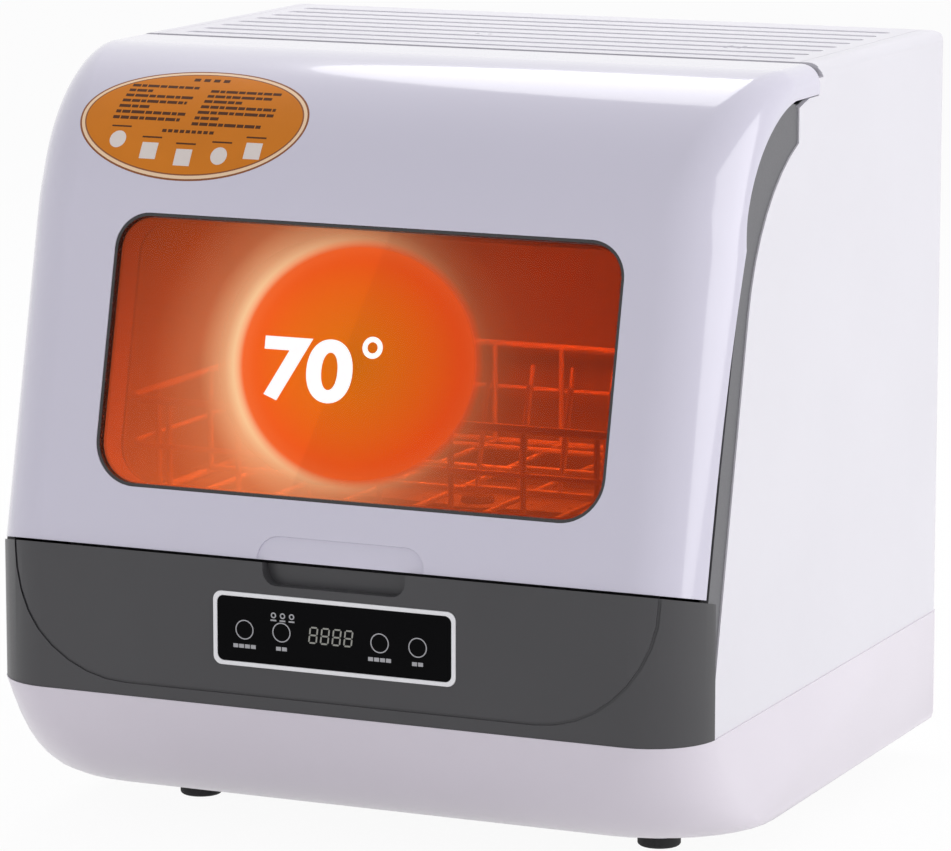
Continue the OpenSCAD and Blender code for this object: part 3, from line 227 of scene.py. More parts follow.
def pane(name, colour, alpha, rough=0.02):
    """A clear sheet that lets most of the light straight through."""
    m, tree, bsdf = new_material(name)
    fine = noise(tree, 6.0)
    tone = two_tone(tree, fine, shade(colour, 0.97), shade(colour, 1.03))
    tree.links.new(tone, bsdf.inputs["Base Color"])
    tree.links.new(spread(tree, fine, rough, rough * 1.6), bsdf.inputs["Roughness"])
    bsdf.inputs["Alpha"].default_value = alpha
    bsdf.inputs["Specular IOR Level"].default_value = 0.2
    bsdf.inputs["Coat Weight"].default_value = 0.1
    bsdf.inputs["Coat Roughness"].default_value = 0.01
    return m


MATERIALS["window_glass"] = pane("window_glass", (0.03, 0.01, 0.004), 0.16)
MATERIALS["clear_glass"] = pane("inner_pane", (0.25, 0.27, 0.28), 0.08)


def math_node(tree, op, a, b=None):
    n = add(tree, "ShaderNodeMath", operation=op)
    for i, v in enumerate((a, b)):
        if v is None:
            continue
        if isinstance(v, (int, float)):
            n.inputs[i].default_value = v
        else:
            tree.links.new(v, n.inputs[i])
    return n.outputs[0]


def door_place(tree):
    """x across and s up the door's flat, in metres, as two outputs."""
    co = add(tree, "ShaderNodeTexCoord")
    outs = []
    for axis, start in ((Vector((1, 0, 0)), 0.0), (ALONG, DOOR_ORIGIN.dot(ALONG) * MM)):
        dot = add(tree, "ShaderNodeVectorMath", operation="DOT_PRODUCT")
        tree.links.new(co.outputs["Object"], dot.inputs[0])
        dot.inputs[1].default_value = axis
        outs.append(math_node(tree, "SUBTRACT", dot.outputs["Value"], start))
    return outs


def ring_distance(tree, x, s, centre, half):
    """1 on the edge of an oval and less inside it, with the place across it beside that."""
    u = math_node(tree, "DIVIDE", math_node(tree, "SUBTRACT", x, centre[0] * MM), half[0] * MM)
    v = math_node(tree, "DIVIDE", math_node(tree, "SUBTRACT", s, centre[1] * MM), half[1] * MM)
    return math_node(tree, "SQRT", math_node(tree, "ADD", math_node(tree, "MULTIPLY", u, u),
                                             math_node(tree, "MULTIPLY", v, v))), u


def ramp(tree, source, stops):
    r = add(tree, "ShaderNodeValToRGB")
    while len(r.color_ramp.elements) < len(stops):
        r.color_ramp.elements.new(0.5)
    for e, (pos, colour) in zip(r.color_ramp.elements, stops):
        e.position = pos
        e.color = (*colour, 1)
    tree.links.new(source, r.inputs["Fac"])
    return r.outputs["Color"]


def layered(tree, share, under, over):
    """One colour over another, by a share from 0 to 1."""
    mix = add(tree, "ShaderNodeMix", data_type="RGBA")
    for socket, source in zip((0, 6, 7), (share, under, over)):
        tree.links.new(source, mix.inputs[socket])
    return mix.outputs[2]


def multiplied(tree, a, b):
    mix = add(tree, "ShaderNodeMix", data_type="RGBA", blend_type="MULTIPLY")
    mix.inputs[0].default_value = 1.0
    tree.links.new(a, mix.inputs[6])
    tree.links.new(b, mix.inputs[7])
    return mix.outputs[2]


def scaled(tree, colour, k):
    """A colour times a number, or times an output."""
    by = add(tree, "ShaderNodeVectorMath", operation="SCALE")
    tree.links.new(colour, by.inputs[0])
    if isinstance(k, float):
        by.inputs["Scale"].default_value = k
    else:
        tree.links.new(k, by.inputs["Scale"])
    return by.outputs[0]


def blended(tree, share, under, over, out):
    """The output takes one shader over another, by a share."""
    mix = add(tree, "ShaderNodeMixShader")
    tree.links.new(share, mix.inputs[0])
    tree.links.new(under.outputs[0], mix.inputs[1])
    tree.links.new(over.outputs[0], mix.inputs[2])
    tree.links.new(mix.outputs[0], out.inputs["Surface"])


# The painted glow behind the glass, light that the film gives out though it is no lamp: a warm wash with a
# soft disc in the middle.
# Places are in millimetres across and up the door's flat. A row of stops is a list of (place, colour).
DISC_AT = (4.8, 108.5)
DISC_HALF = (70.8, 64.5)
DISC_EDGE = (0.96, 1.04)
HALO_END = 1.75
TILT_SPAN = (-70, 80)
# the film's painted reflection: a brighter band left of a slanting line
PAINTED_SHEEN_SLOPE, PAINTED_SHEEN_FROM, PAINTED_SHEEN_EDGE, PAINTED_SHEEN_GAIN = 0.3157, -40.0, 0.6, 1.10
FILM_PAINTED_GLOW, FILM_BODY = 1.22, 0.12
DISC_COVER, WASH_COVER, HALO_COVER = 0.86, 0.36, 0.96
# The wash is painted light: lightest a third of the way across and low down in the window.
WASH = [(0.0, (0.50, 0.10, 0.030)), (0.3, (0.76, 0.205, 0.060)), (0.6, (0.42, 0.078, 0.022)),
        (1.0, (0.24, 0.028, 0.006))]
WASH_UP = [(0.0, (1.25, 1.3, 1.4)), (0.5, (1.0, 1.0, 1.0)), (1.0, (0.72, 0.62, 0.5))]
TINT_UP = [(0.0, (1.0, 0.34, 0.10)), (0.5, (0.82, 0.21, 0.05)), (1.0, (0.69, 0.18, 0.04))]
HALO_FADE = [(0.0, (1, 1, 1)), (0.16, (0.56, 0.56, 0.56)), (0.45, (0.16, 0.16, 0.16)), (1.0, (0, 0, 0))]
HALO_AMBER, HALO_CREAM = (0.60, 0.22, 0.07), (1.0, 0.70, 0.39)
DISC_OUT = [(0.0, (0.68, 0.170, 0.003)), (0.30, (0.77, 0.163, 0.003)), (0.6, (0.82, 0.135, 0.004)),
            (0.85, (0.84, 0.098, 0.006)), (1.0, (0.85, 0.13, 0.022))]
DISC_ACROSS = [(0.0, (1.08, 1.2, 1.6)), (0.5, (1.0, 1.0, 1.0)), (1.0, (0.93, 0.72, 0.8))]


def film_picture(tree):
    """The film's painted glow and painted reflection, with the disc's and the painted halo's shares and the
    height up the window.
    """
    x, s = door_place(tree)
    disc, across = ring_distance(tree, x, s, DISC_AT, DISC_HALF)
    along = spread(tree, x, 0.0, 1.0, (SHIFT - WINDOW_W / 2) * MM, (SHIFT + WINDOW_W / 2) * MM)
    height = spread(tree, s, 0.0, 1.0, WINDOW_LOW * MM, (WINDOW_LOW + WINDOW_H) * MM)
    wash = multiplied(tree, ramp(tree, along, WASH), ramp(tree, height, WASH_UP))
    # the halo of painted light is strongest on the disc's left
    side = spread(tree, across, 1.0, 0.30, -0.9, 0.9)
    fade = ramp(tree, spread(tree, disc, 0.0, 1.0, 1.0, HALO_END), HALO_FADE)
    halo = math_node(tree, "MULTIPLY", fade, side)
    ground = layered(tree, halo, wash, two_tone(tree, side, HALO_AMBER, HALO_CREAM))
    tilt = spread(tree, x, 0.0, 1.0, TILT_SPAN[0] * MM, TILT_SPAN[1] * MM)
    inside = multiplied(tree, ramp(tree, disc, DISC_OUT), ramp(tree, tilt, DISC_ACROSS))
    edge = spread(tree, disc, 1.0, 0.0, *DISC_EDGE)
    picture = layered(tree, edge, ground, inside)
    # a painted reflection: the picture is brighter left of a slanting line
    line = math_node(tree, "SUBTRACT", x, math_node(tree, "MULTIPLY", s, PAINTED_SHEEN_SLOPE))
    sheen = spread(tree, line, PAINTED_SHEEN_GAIN, 1.0, PAINTED_SHEEN_FROM * MM, (PAINTED_SHEEN_FROM + PAINTED_SHEEN_EDGE) * MM)
    return scaled(tree, picture, sheen), edge, halo, height


def painted_glow_film():
    """Painted glow: amber tint over the whole window, a cream halo of painted light and a soft-edged disc,
    all given out by the film, which is no lamp, and a slanting painted reflection.
    """
    m, tree, bsdf = new_material("window_painted_glow")
    picture, edge, halo, height = film_picture(tree)
    tree.links.new(scaled(tree, picture, FILM_BODY), bsdf.inputs["Base Color"])
    tree.links.new(picture, bsdf.inputs["Emission Color"])
    bsdf.inputs["Emission Strength"].default_value = FILM_PAINTED_GLOW
    bsdf.inputs["Roughness"].default_value = 0.5
    bsdf.inputs["Specular IOR Level"].default_value = 0.02
    clear = add(tree, "ShaderNodeBsdfTransparent")
    tree.links.new(ramp(tree, height, TINT_UP), clear.inputs["Color"])
    cover = math_node(tree, "MAXIMUM", math_node(tree, "MULTIPLY", edge, DISC_COVER),
                      spread(tree, halo, WASH_COVER, HALO_COVER, 0.0, 1.0))
    blended(tree, cover, clear, bsdf, tree.nodes["Material Output"])
    return m


MATERIALS["window_film"] = painted_glow_film()
LABEL_ORANGE = finish("label_orange", (0.68, 0.21, 0.014), 0.45, vary=0.05, cloud=20, grain=300,
                      grain_up=0.05, shine=0.2)
LABEL_CREAM = finish("label_cream", (0.92, 0.66, 0.42), 0.4, vary=0.03)
LABEL_BROWN = finish("label_brown", (0.26, 0.075, 0.012), 0.45, vary=0.05)
LABEL_DARK = finish("label_dark", (0.085, 0.028, 0.008), 0.5, vary=0.05, shine=0.2)
LABEL_PALE = finish("label_pale", (0.80, 0.72, 0.66), 0.45, vary=0.04)
FIGURE_WHITE_PAINTED_GLOW = finish("figure_white_painted_glow", (0.90, 0.89, 0.87), 0.35, vary=0.01)
# painted glow: the printed figures shine though they are no lamp
lamp_and_painted_glow(FIGURE_WHITE_PAINTED_GLOW, (1.0, 0.98, 0.95), 0.35)


# ---- making pieces ----
SOFTENED_FROM = math.radians(40)


def piece(name, bm, material, body, nodes=(), sharp=32.0):
    """A finished piece from a bmesh in metres, riding on a body."""
    for f in bm.faces:
        f.smooth = True
    mesh = bpy.data.meshes.new(name)
    bm.to_mesh(mesh)
    bm.free()
    mesh.set_sharp_from_angle(angle=math.radians(sharp))
    obj = bpy.data.objects.new(name, mesh)
    bpy.context.scene.collection.objects.link(obj)
    for m in material if isinstance(material, (list, tuple)) else [material]:
        mesh.materials.append(m)
    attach(obj, body)
    if nodes:
        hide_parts(*nodes)
    return obj


def only_verts(made):
    """The vertices among what an extrusion made."""
    return [v for v in made["geom"] if isinstance(v, bmesh.types.BMVert)]


def sharp_edges(bm):
    return [e for e in bm.edges if e.is_manifold and e.calc_face_angle(0.0) > SOFTENED_FROM]


def soften(bm, edges, width, segments=2):
    if edges:
        bmesh.ops.bevel(bm, geom=edges, offset=width * MM, offset_type="OFFSET", segments=segments,
                        profile=0.5, affect="EDGES", clamp_overlap=True, material=-1)


def even_shading(obj):
    """Large flat faces keep their own normals, so that no streaks run across them."""
    even = obj.modifiers.new("even", "WEIGHTED_NORMAL")
    even.keep_sharp = True


def solid_copy(node):
    """A node's solid as one clean mesh: doubles merged and flats made whole."""
    bm = bmesh.new()
    bm.from_mesh(NODES[node].data)
    bmesh.ops.remove_doubles(bm, verts=bm.verts, dist=8e-6)
    bmesh.ops.dissolve_limit(bm, angle_limit=math.radians(0.6), verts=bm.verts, edges=bm.edges,
                             use_dissolve_boundaries=False)
    return bm


def dressed(node, width, segments=2, second=None):
    """The node's solid with softened edges and its finish. A second finish goes to the faces
    that its test picks."""
    bm = solid_copy(node)
    materials = [MATERIALS[SLOT_OF[node]]]
    if width:
        soften(bm, sharp_edges(bm), width, segments)
    if second:
        materials.append(second[0])
        for f in bm.faces:
            f.material_index = int(second[1](f))
    obj = piece(node + "_skin", bm, materials, BODY_OF[node], [node])
    if width:
        even_shading(obj)


# The width of each solid's softened edges in millimetres, and their steps where these aren't 2.
SKINS = {
    "base_tray": (0.0,), "foot_cups": (0.5,), "foot_pads": (0.4,), "side_panel_left": (0.7, 3),
    "side_panel_right": (0.7, 3), "top_cover": (0.45,), "back_cover": (0.5,), "cover_screws": (0.15, 1),
    "control_frame": (0.5, 3), "control_glass": (0.15, 1), "door_gasket": (0.6,), "rack_rails": (0.6,),
    "sump_well": (0.6,), "sump_filter": (0.4,), "lower_spray_hub": (0.5,), "upper_spray_hub": (0.5,),
    "lower_spray_arm": (1.2, 3), "upper_spray_arm": (1.2, 3), "spray_feed_pipe": (0.4,),
    "pump_volute": (0.8,), "pump_motor": (0.6,), "pump_mount": (0.8,), "drain_pump": (0.6,),
    "water_heater": (0.8,), "pump_hose": (0.3,), "water_tank": (2.0, 3), "fill_spigot": (0.5,),
    "drain_spigot": (0.5,), "cord_gland": (0.5,), "power_board": (1.0,), "blower_housing": (0.8,),
    "blower_motor": (0.4,), "blower_wheel": (0.2, 1), "air_duct": (0.8,), "tub_lamp": (0.5,),
    "hinge_bracket_left": (0.4,), "hinge_bracket_right": (0.4,), "hinge_pins": (0.3,),
    "door_arm_left": (0.4,), "door_arm_right": (0.4,), "door_magnet": (0.4,), "liner_screws": (0.1, 1),
    "rack_floor": (0.0,), "rack_end_walls": (0.0,), "rack_side_walls": (0.0,), "rack_corners": (0.0,),
    "rack_tines": (0.0,), "cutlery_basket": (0.5,), "tub": (0.8,), "door_liner": (0.6,),
    "window_seal": (0.25,), "window_glass": (0.3,), "inner_glass": (0.3,), "control_board": (0.2, 1),
    "display_module": (0.4,), "reed_sensor": (0.4,), "door_stops": (0.3,),
}
for skin_node, softness in SKINS.items():
    dressed(skin_node, *softness)

# ---- the film behind the glass ----
FILM_MIDDLE = 4.8
FILM_SQUEEZE = 0.3


def film_skin():
    """The amber film, a little thinner than its solid, so that it shares no plane with the glass."""
    bm = solid_copy("window_film")
    middle = on_door(0, 0, FILM_MIDDLE).dot(INWARD) * MM
    for v in bm.verts:
        v.co += INWARD * (middle - v.co.dot(INWARD)) * FILM_SQUEEZE
    piece("window_film_skin", bm, MATERIALS["window_film"], "door",
          ["window_film"])


film_skin()

# painted light: the console's side arms get a paler copy of its grey, for the light that falls on them from
# the right
dressed("fascia", 0.5, second=(ARM_GREY_PAINTED_LIGHT, lambda f: f.calc_center_median().y > (ARM_START - HALF_D) * MM))


# ---- the door's shell ----
def door_stop(u):
    """Outer point [y, z], lean, corner radius and flange depth at a place along the profile:
    u is 0 to 1 up the flat, 1 to 2 round the bend and 2 to 3 along the top."""
    if u <= 1:
        s = u * FLAT_LEN
        return (DOOR_SET + s * math.sin(LEAN), DOOR_Z + s * math.cos(LEAN)), LEAN, FRONT_R, \
            FLANGE_LOW + (FLANGE_MID - FLANGE_LOW) * u ** 3
    v = min(u - 1, 1)
    a = LEAN + (math.pi / 2 - LEAN) * v
    r = FRONT_R + (REAR_R - FRONT_R) * (max(v - 0.15, 0) / 0.85) ** 1.2
    e = FLANGE_MID + (FLANGE_REAR - FLANGE_MID) * v ** 0.9
    y = BEND_Y - BEND_R * math.cos(a) + max(u - 2, 0) * (DOOR_BACK - BEND_Y)
    return (y, BEND_Z + BEND_R * math.sin(a)), a, r, e


ARC_STEPS = 26
FLANGE_LIP = 0.6


def door_section(u):
    """The door's outer outline across the body at u, as points in metres."""
    p, a, r, e = door_stop(u)
    turn = math.acos(max(min((r - e + FLANGE_LIP) / r, 1), 0))
    half = []
    for i in range(ARC_STEPS + 1):
        b = turn * i / ARC_STEPS
        half.append((HALF_W - r + r * math.sin(b), r - r * math.cos(b)))
    half.append((HALF_W - r + r * math.sin(turn), e))
    line = [(-x, d) for x, d in reversed(half)] + half
    return [Vector((x, p[0] + d * math.cos(a) - HALF_D, p[1] - d * math.sin(a))) * MM for x, d in line]


def loft(bm, sections):
    """Open sections joined into a sheet, row by row."""
    rows = [[bm.verts.new(p) for p in s] for s in sections]
    chains = [[bm.edges.new(pair) for pair in zip(r, r[1:])] for r in rows]
    for a, b in zip(chains, chains[1:]):
        bmesh.ops.bridge_loops(bm, edges=a + b)


def corner(x, y, r, start, steps):
    """A quarter turn of radius r about (x, y), from the angle start in degrees."""
    turns = [math.radians(start + 90 * i / steps) for i in range(steps + 1)]
    return [(x + r * math.cos(a), y + r * math.sin(a)) for a in turns]


def window_outline():
    """The window opening's rounded outline as (x, s) in millimetres."""
    low, high = WINDOW_LOW, WINDOW_LOW + WINDOW_H
    out = []
    for side, y, r, start in ((-1, low + WINDOW_R_LOW, WINDOW_R_LOW, 180),
                              (1, low + WINDOW_R_LOW, WINDOW_R_LOW, 270),
                              (1, high - WINDOW_R_HIGH, WINDOW_R_HIGH, 0),
                              (-1, high - WINDOW_R_HIGH, WINDOW_R_HIGH, 90)):
        out += corner(SHIFT + side * (WINDOW_W / 2 - r), y, r, start, 12)
    return out


def block_through(outline, d0, d1):
    """A closed block on the door's flat from depth d0 to d1, as a hidden cutting tool."""
    bm = bmesh.new()
    face = bm.faces.new([bm.verts.new(on_door(x, s, d0) * MM) for x, s in outline])
    grown = bmesh.ops.extrude_face_region(bm, geom=[face])
    bmesh.ops.translate(bm, vec=INWARD * (d1 - d0) * MM, verts=only_verts(grown))
    bmesh.ops.recalc_face_normals(bm, faces=bm.faces)
    return bm


def cut(bm, tool):
    """bm less tool, both closed, by the exact boolean."""
    objs = []
    for part in (bm, tool):
        mesh = bpy.data.meshes.new("cut_part")
        part.to_mesh(mesh)
        part.free()
        o = bpy.data.objects.new("cut_part", mesh)
        bpy.context.scene.collection.objects.link(o)
        objs.append(o)
    mod = objs[0].modifiers.new("cut", "BOOLEAN")
    mod.operation, mod.solver, mod.object = "DIFFERENCE", "EXACT", objs[1]
    done = objs[0].evaluated_get(bpy.context.evaluated_depsgraph_get())
    out = bmesh.new()
    out.from_mesh(done.to_mesh())
    done.to_mesh_clear()
    for o in objs:
        mesh = o.data
        bpy.data.objects.remove(o)
        bpy.data.meshes.remove(mesh)
    return out


GRIP_X, GRIP_HALF, GRIP_TOP, GRIP_R, GRIP_DEPTH = SHIFT + 2.5, 49, 13, 12, 1.3
BELOW_EDGE = -6


def grip_outline():
    """The shallow finger dish in the door's lower edge."""
    reach = GRIP_HALF - GRIP_R
    return ([(GRIP_X - GRIP_HALF, BELOW_EDGE), (GRIP_X + GRIP_HALF, BELOW_EDGE)]
            + corner(GRIP_X + reach, GRIP_TOP - GRIP_R, GRIP_R, 0, 10)
            + corner(GRIP_X - reach, GRIP_TOP - GRIP_R, GRIP_R, 90, 10))


RIM_NEAR, RIM_FOLD = 0.25, 0.5


def rim_edges(bm, outline):
    """The folded edges that run along an outline on the door's outer face."""
    plane = [Vector((x, s)) for x, s in outline]

    def close(v):
        rel = v.co / MM - DOOR_ORIGIN
        if abs(rel.dot(INWARD)) > RIM_NEAR:
            return False
        q = Vector((rel.x, rel.dot(ALONG)))
        for a, b in zip(plane, plane[1:] + plane[:1]):
            ab = b - a
            k = max(0, min(1, (q - a).dot(ab) / ab.length_squared))
            if (a + ab * k - q).length < RIM_NEAR:
                return True
        return False

    marked = {v for v in bm.verts if close(v)}
    return [e for e in bm.edges
            if marked.issuperset(e.verts) and e.is_manifold and e.calc_face_angle(0) > RIM_FOLD]


def door_shell():
    """The bent shell with its flanges, its window opening and its finger dish."""
    bm = bmesh.new()
    stops = [i / 6 for i in range(6)] + [0.97] + [1 + i / 44 for i in range(45)] + [2.35, 2.7, 3]
    loft(bm, [door_section(u) for u in stops])
    bmesh.ops.recalc_face_normals(bm, faces=bm.faces)
    middle = max(bm.faces, key=lambda f: f.calc_area())
    if middle.normal.y > 0:
        bmesh.ops.reverse_faces(bm, faces=bm.faces)
    bmesh.ops.solidify(bm, geom=bm.faces, thickness=WALL * MM)
    bmesh.ops.recalc_face_normals(bm, faces=bm.faces)
    bm = cut(bm, block_through(window_outline(), -5, WALL + 6))
    bm = cut(bm, block_through(grip_outline(), -5, GRIP_DEPTH))
    bmesh.ops.remove_doubles(bm, verts=bm.verts, dist=5e-6)
    soften(bm, rim_edges(bm, window_outline()), 0.9, 3)
    soften(bm, rim_edges(bm, grip_outline()), 0.6, 2)
    obj = piece("door_shell_skin", bm, MATERIALS["door_gloss"], "door", ["door_shell"], 30)
    edge = obj.modifiers.new("edge", "BEVEL")
    edge.limit_method, edge.angle_limit, edge.width, edge.segments = "ANGLE", math.radians(50), 0.5 * MM, 2
    edge.use_clamp_overlap = True
    even_shading(obj)


door_shell()


# ---- marks on the touch panel ----
# Their back is just inside the panel's face, so that they stand on it.
MARK_BACK = 0.48
MARK_THICK, RING_THICK = 0.12, 0.1


def flat_marks(name, shapes, material):
    """Flat printed shapes on the touch panel: each is a list of (x, z) points in millimetres."""
    bm = bmesh.new()
    for outline in shapes:
        face = bm.faces.new([bm.verts.new(on_front(x, z, MARK_BACK) * MM) for x, z in outline])
        grown = bmesh.ops.extrude_face_region(bm, geom=[face])
        bmesh.ops.translate(bm, vec=(0, -MARK_THICK * MM, 0), verts=only_verts(grown))
    bmesh.ops.recalc_face_normals(bm, faces=bm.faces)
    piece(name, bm, material, "cabinet")


def flat_ring(bm, radii, place, segments):
    """A flat ring between two radii in millimetres, joined between its circles."""
    circles = [bmesh.ops.create_circle(bm, segments=segments, radius=r * MM, matrix=place)["verts"]
               for r in radii]
    bmesh.ops.bridge_loops(bm, edges=list({e for c in circles for v in c for e in v.link_edges}))


def rings(name, centres, r, w, material):
    """Printed rings of outer radius r and line width w."""
    bm = bmesh.new()
    for x, z in centres:
        at = Matrix.Translation(on_front(x, z, MARK_BACK) * MM) @ Matrix.Rotation(math.pi / 2, 4, "X")
        flat_ring(bm, (r - w, r), at, 40)
    bmesh.ops.recalc_face_normals(bm, faces=bm.faces)
    for f in bm.faces:
        if f.normal.y > 0:
            f.normal_flip()
    bmesh.ops.solidify(bm, geom=bm.faces, thickness=RING_THICK * MM)
    piece(name, bm, material, "cabinet")


def bar(x, z, w, h):
    """A rectangle's corners about its middle."""
    return [(x - w / 2, z - h / 2), (x + w / 2, z - h / 2), (x + w / 2, z + h / 2), (x - w / 2, z + h / 2)]


KEYS = ((-47.8, 129.2), (-25.7, 129.6), (32.3, 129.0), (54.5, 128.6))
CAPTION_COUNTS = (4, 2, 4, 2)
CAPTION_DROP, CAPTION_PITCH, CAPTION_BAR = 9.0, 3.5, (2.9, 2.1)
DOTS_X, DOTS_Z = (-30.4, -25.0, -19.6), 138.6
DOT_BARS_Z, DOT_BAR = 135.9, (3.4, 0.8)


def captions():
    bars = []
    for (kx, kz), count in zip(KEYS, CAPTION_COUNTS):
        bars += [bar(kx + (i - (count - 1) / 2) * CAPTION_PITCH, kz - CAPTION_DROP, *CAPTION_BAR)
                 for i in range(count)]
    return bars + [bar(x, DOT_BARS_Z, *DOT_BAR) for x in DOTS_X]


rings("key_rings", KEYS, 5.4, 0.6, PRINT_GREY)
rings("key_dots", [(x, DOTS_Z) for x in DOTS_X], 1.6, 0.7, PRINT_GREY)
flat_marks("caption_bars", captions(), PRINT_GREY)

DIGIT_H, DIGIT_W, DIGIT_PITCH, DIGIT_SKEW = 8.4, 4.3, 6.9, 0.12
DISPLAY_X, DISPLAY_Z = 3.6, 129.8
SEGMENT_HALF, SEGMENT_GAP = 0.42, 0.5


def segment(cx, cz, length, upright):
    """One bar of a digit, pointed at its ends."""
    h, w = length / 2, SEGMENT_HALF
    pts = [(-h, 0), (-h + w, -w), (h - w, -w), (h, 0), (h - w, w), (-h + w, w)]
    if upright:
        pts = [(z, x) for x, z in pts][::-1]
    return [(cx + x, cz + z) for x, z in pts]


def digit(x0):
    """The seven bars of a slanting 8 about x0."""
    w, h = DIGIT_W / 2, DIGIT_H / 2
    bars = [segment(0, z, DIGIT_W - SEGMENT_GAP, False) for z in (-h, 0, h)]
    bars += [segment(x, z, h - SEGMENT_GAP, True) for x in (-w, w) for z in (-h / 2, h / 2)]
    return [[(x0 + x + z * DIGIT_SKEW, DISPLAY_Z + z) for x, z in b] for b in bars]


flat_marks("display_digits", [b for i in range(4) for b in digit(DISPLAY_X + (i - 1.5) * DIGIT_PITCH)],
           DIGIT_GREY)


# ---- figures on the window ----
FIGURE_BOX = ((-48.9, 85.6), (4.2, 120.3))
FIGURE_SIZE, FIGURE_SWELL, FIGURE_THICK = 46, 1.5, 0.3
FIGURE_BACK = 0.72
DEGREE_AT, DEGREE_RADII = (14.6, 117.4), (3.0, 5.9)


def plain_figures():
    """The figures as a mesh, at the size that the font gives them."""
    curve = bpy.data.curves.new("figures", "FONT")
    curve.body = "70"
    curve.size = FIGURE_SIZE * MM
    curve.offset = FIGURE_SWELL * MM
    curve.extrude = FIGURE_THICK / 2 * MM
    text = bpy.data.objects.new("figures", curve)
    bpy.context.scene.collection.objects.link(text)
    bm = bmesh.new()
    bm.from_mesh(text.evaluated_get(bpy.context.evaluated_depsgraph_get()).to_mesh())
    bpy.data.objects.remove(text)
    bmesh.ops.remove_doubles(bm, verts=bm.verts, dist=1e-6)
    return bm


def degree_ring(x, s):
    """The degree ring as a mesh, at x and s from the figures' corner."""
    bm = bmesh.new()
    flat_ring(bm, DEGREE_RADII, Matrix.Translation((x * MM, s * MM, 0)), 48)
    bmesh.ops.recalc_face_normals(bm, faces=bm.faces)
    bmesh.ops.solidify(bm, geom=bm.faces, thickness=FIGURE_THICK * MM)
    mesh = bpy.data.meshes.new("degree")
    bm.to_mesh(mesh)
    bm.free()
    return mesh


def window_figures():
    bm = plain_figures()
    (x0, s0), (x1, s1) = FIGURE_BOX
    xs, ys = [v.co.x for v in bm.verts], [v.co.y for v in bm.verts]
    wide, high = max(xs) - min(xs), max(ys) - min(ys)
    fit = Matrix.Diagonal(((x1 - x0) * MM / wide, (s1 - s0) * MM / high, 1, 1))
    fit = fit @ Matrix.Translation((-min(xs), -min(ys), 0))
    bmesh.ops.transform(bm, matrix=fit, verts=bm.verts)
    ring = degree_ring(DEGREE_AT[0] - x0, DEGREE_AT[1] - s0)
    bm.from_mesh(ring)
    bpy.data.meshes.remove(ring)
    upright = Matrix.Rotation(math.pi / 2 - LEAN, 4, "X")
    place = Matrix.Translation(on_door(x0, s0, FIGURE_BACK) * MM)
    bmesh.ops.transform(bm, matrix=place @ upright, verts=bm.verts)
    piece("window_figures", bm, FIGURE_WHITE_PAINTED_GLOW, "door")


window_figures()

# ---- the oval label on the door's curved top left ----
# Its middle is at LABEL_X, and LABEL_UP beyond the start of the bend.
LABEL_X, LABEL_UP = -111.6, 0.298 * FLAT_LEN
LABEL_HALF = (69.0, 38.0)
ROW_STEP = 2.0
EDGE_CUTS = range(-68, -50, 3)


def label_point(x, t, lift):
    """A point on the door's outer face: x across, t millimetres along the profile."""
    along = LABEL_UP + t
    r = door_stop(1 + max(along, 0) / (BEND_R * (math.pi / 2 - LEAN)))[2]
    over = max(abs(x) - (HALF_W - r), 0)
    drop = r - math.sqrt(r * r - over * over)
    if along < 0:
        return on_door(x, FLAT_LEN + along, drop - lift) * MM
    a = LEAN + along / BEND_R
    r = BEND_R + lift - drop
    return Vector((x, BEND_Y - r * math.cos(a) - HALF_D, BEND_Z + r * math.sin(a))) * MM


def label_sheet(name, outlines, lift, material):
    """Flat shapes wrapped onto the door's bend, from outlines of (x, t)."""
    bm = bmesh.new()
    for pts in outlines:
        bm.faces.new([bm.verts.new((x, t, 0)) for x, t in pts])
    # rows of cuts let the sheet follow the bend, and a few columns the door's rounded side
    low = min(v.co.y for v in bm.verts)
    high = max(v.co.y for v in bm.verts)
    rows = [low + ROW_STEP * i for i in range(1, math.ceil((high - low) / ROW_STEP))]
    for place, across in [((0, t, 0), (0, 1, 0)) for t in rows] + [((x, 0, 0), (1, 0, 0)) for x in EDGE_CUTS]:
        bmesh.ops.bisect_plane(bm, geom=bm.verts[:] + bm.edges[:] + bm.faces[:], plane_co=place,
                               plane_no=across, dist=1e-4)
    for v in bm.verts:
        v.co = label_point(LABEL_X + v.co.x, v.co.y, lift)
    bmesh.ops.recalc_face_normals(bm, faces=bm.faces)
    for f in bm.faces:
        if f.normal.dot(Vector((0, -0.7, 0.7))) < 0:
            f.normal_flip()
    piece(name, bm, material, "door")


def oval(kx, kz, n=96, cx=0.0, cz=0.0):
    turns = [2 * math.pi * i / n for i in range(n)]
    return [(cx + kx * math.cos(a), cz + kz * math.sin(a)) for a in turns]


for ring_name, ring_in, ring_lift, ring_material in (
        ("label_rim", 0.0, 0.04, LABEL_BROWN), ("label_ring", 1.1, 0.07, LABEL_CREAM),
        ("label_line", 3.0, 0.10, LABEL_BROWN), ("label_field", 3.8, 0.13, LABEL_ORANGE)):
    label_sheet(ring_name, [oval(LABEL_HALF[0] - ring_in, LABEL_HALF[1] - ring_in)], ring_lift,
                ring_material)

# Ruled rows of short dashes in two blocks, with plain shapes below them. A block is its left
# and top, and its rows' widths.
BLOCKS = ((-46, 22.5, (41, 14, 41, 38, 17, 40, 38)), (3, 20.5, (43, 40, 22, 44, 44, 12, 40)))
DASHES = (5, 3, 7, 4, 6, 3, 5, 8, 4, 5)
DASH_GAP, DASH_H, ROW_DROP, ROW_SLANT, SHORTEST = 0.7, 2.1, 4.0, 0.5, 1
SPOTS = ((-41.6, -15.5), (-21, -21.5), (0.5, -24.5), (22, -22.5), (41.6, -18.5))
ROUND_SPOTS, SQUARE_SPOTS = (0, 3), (1, 2, 4)
PRINT_LIFT = 0.16


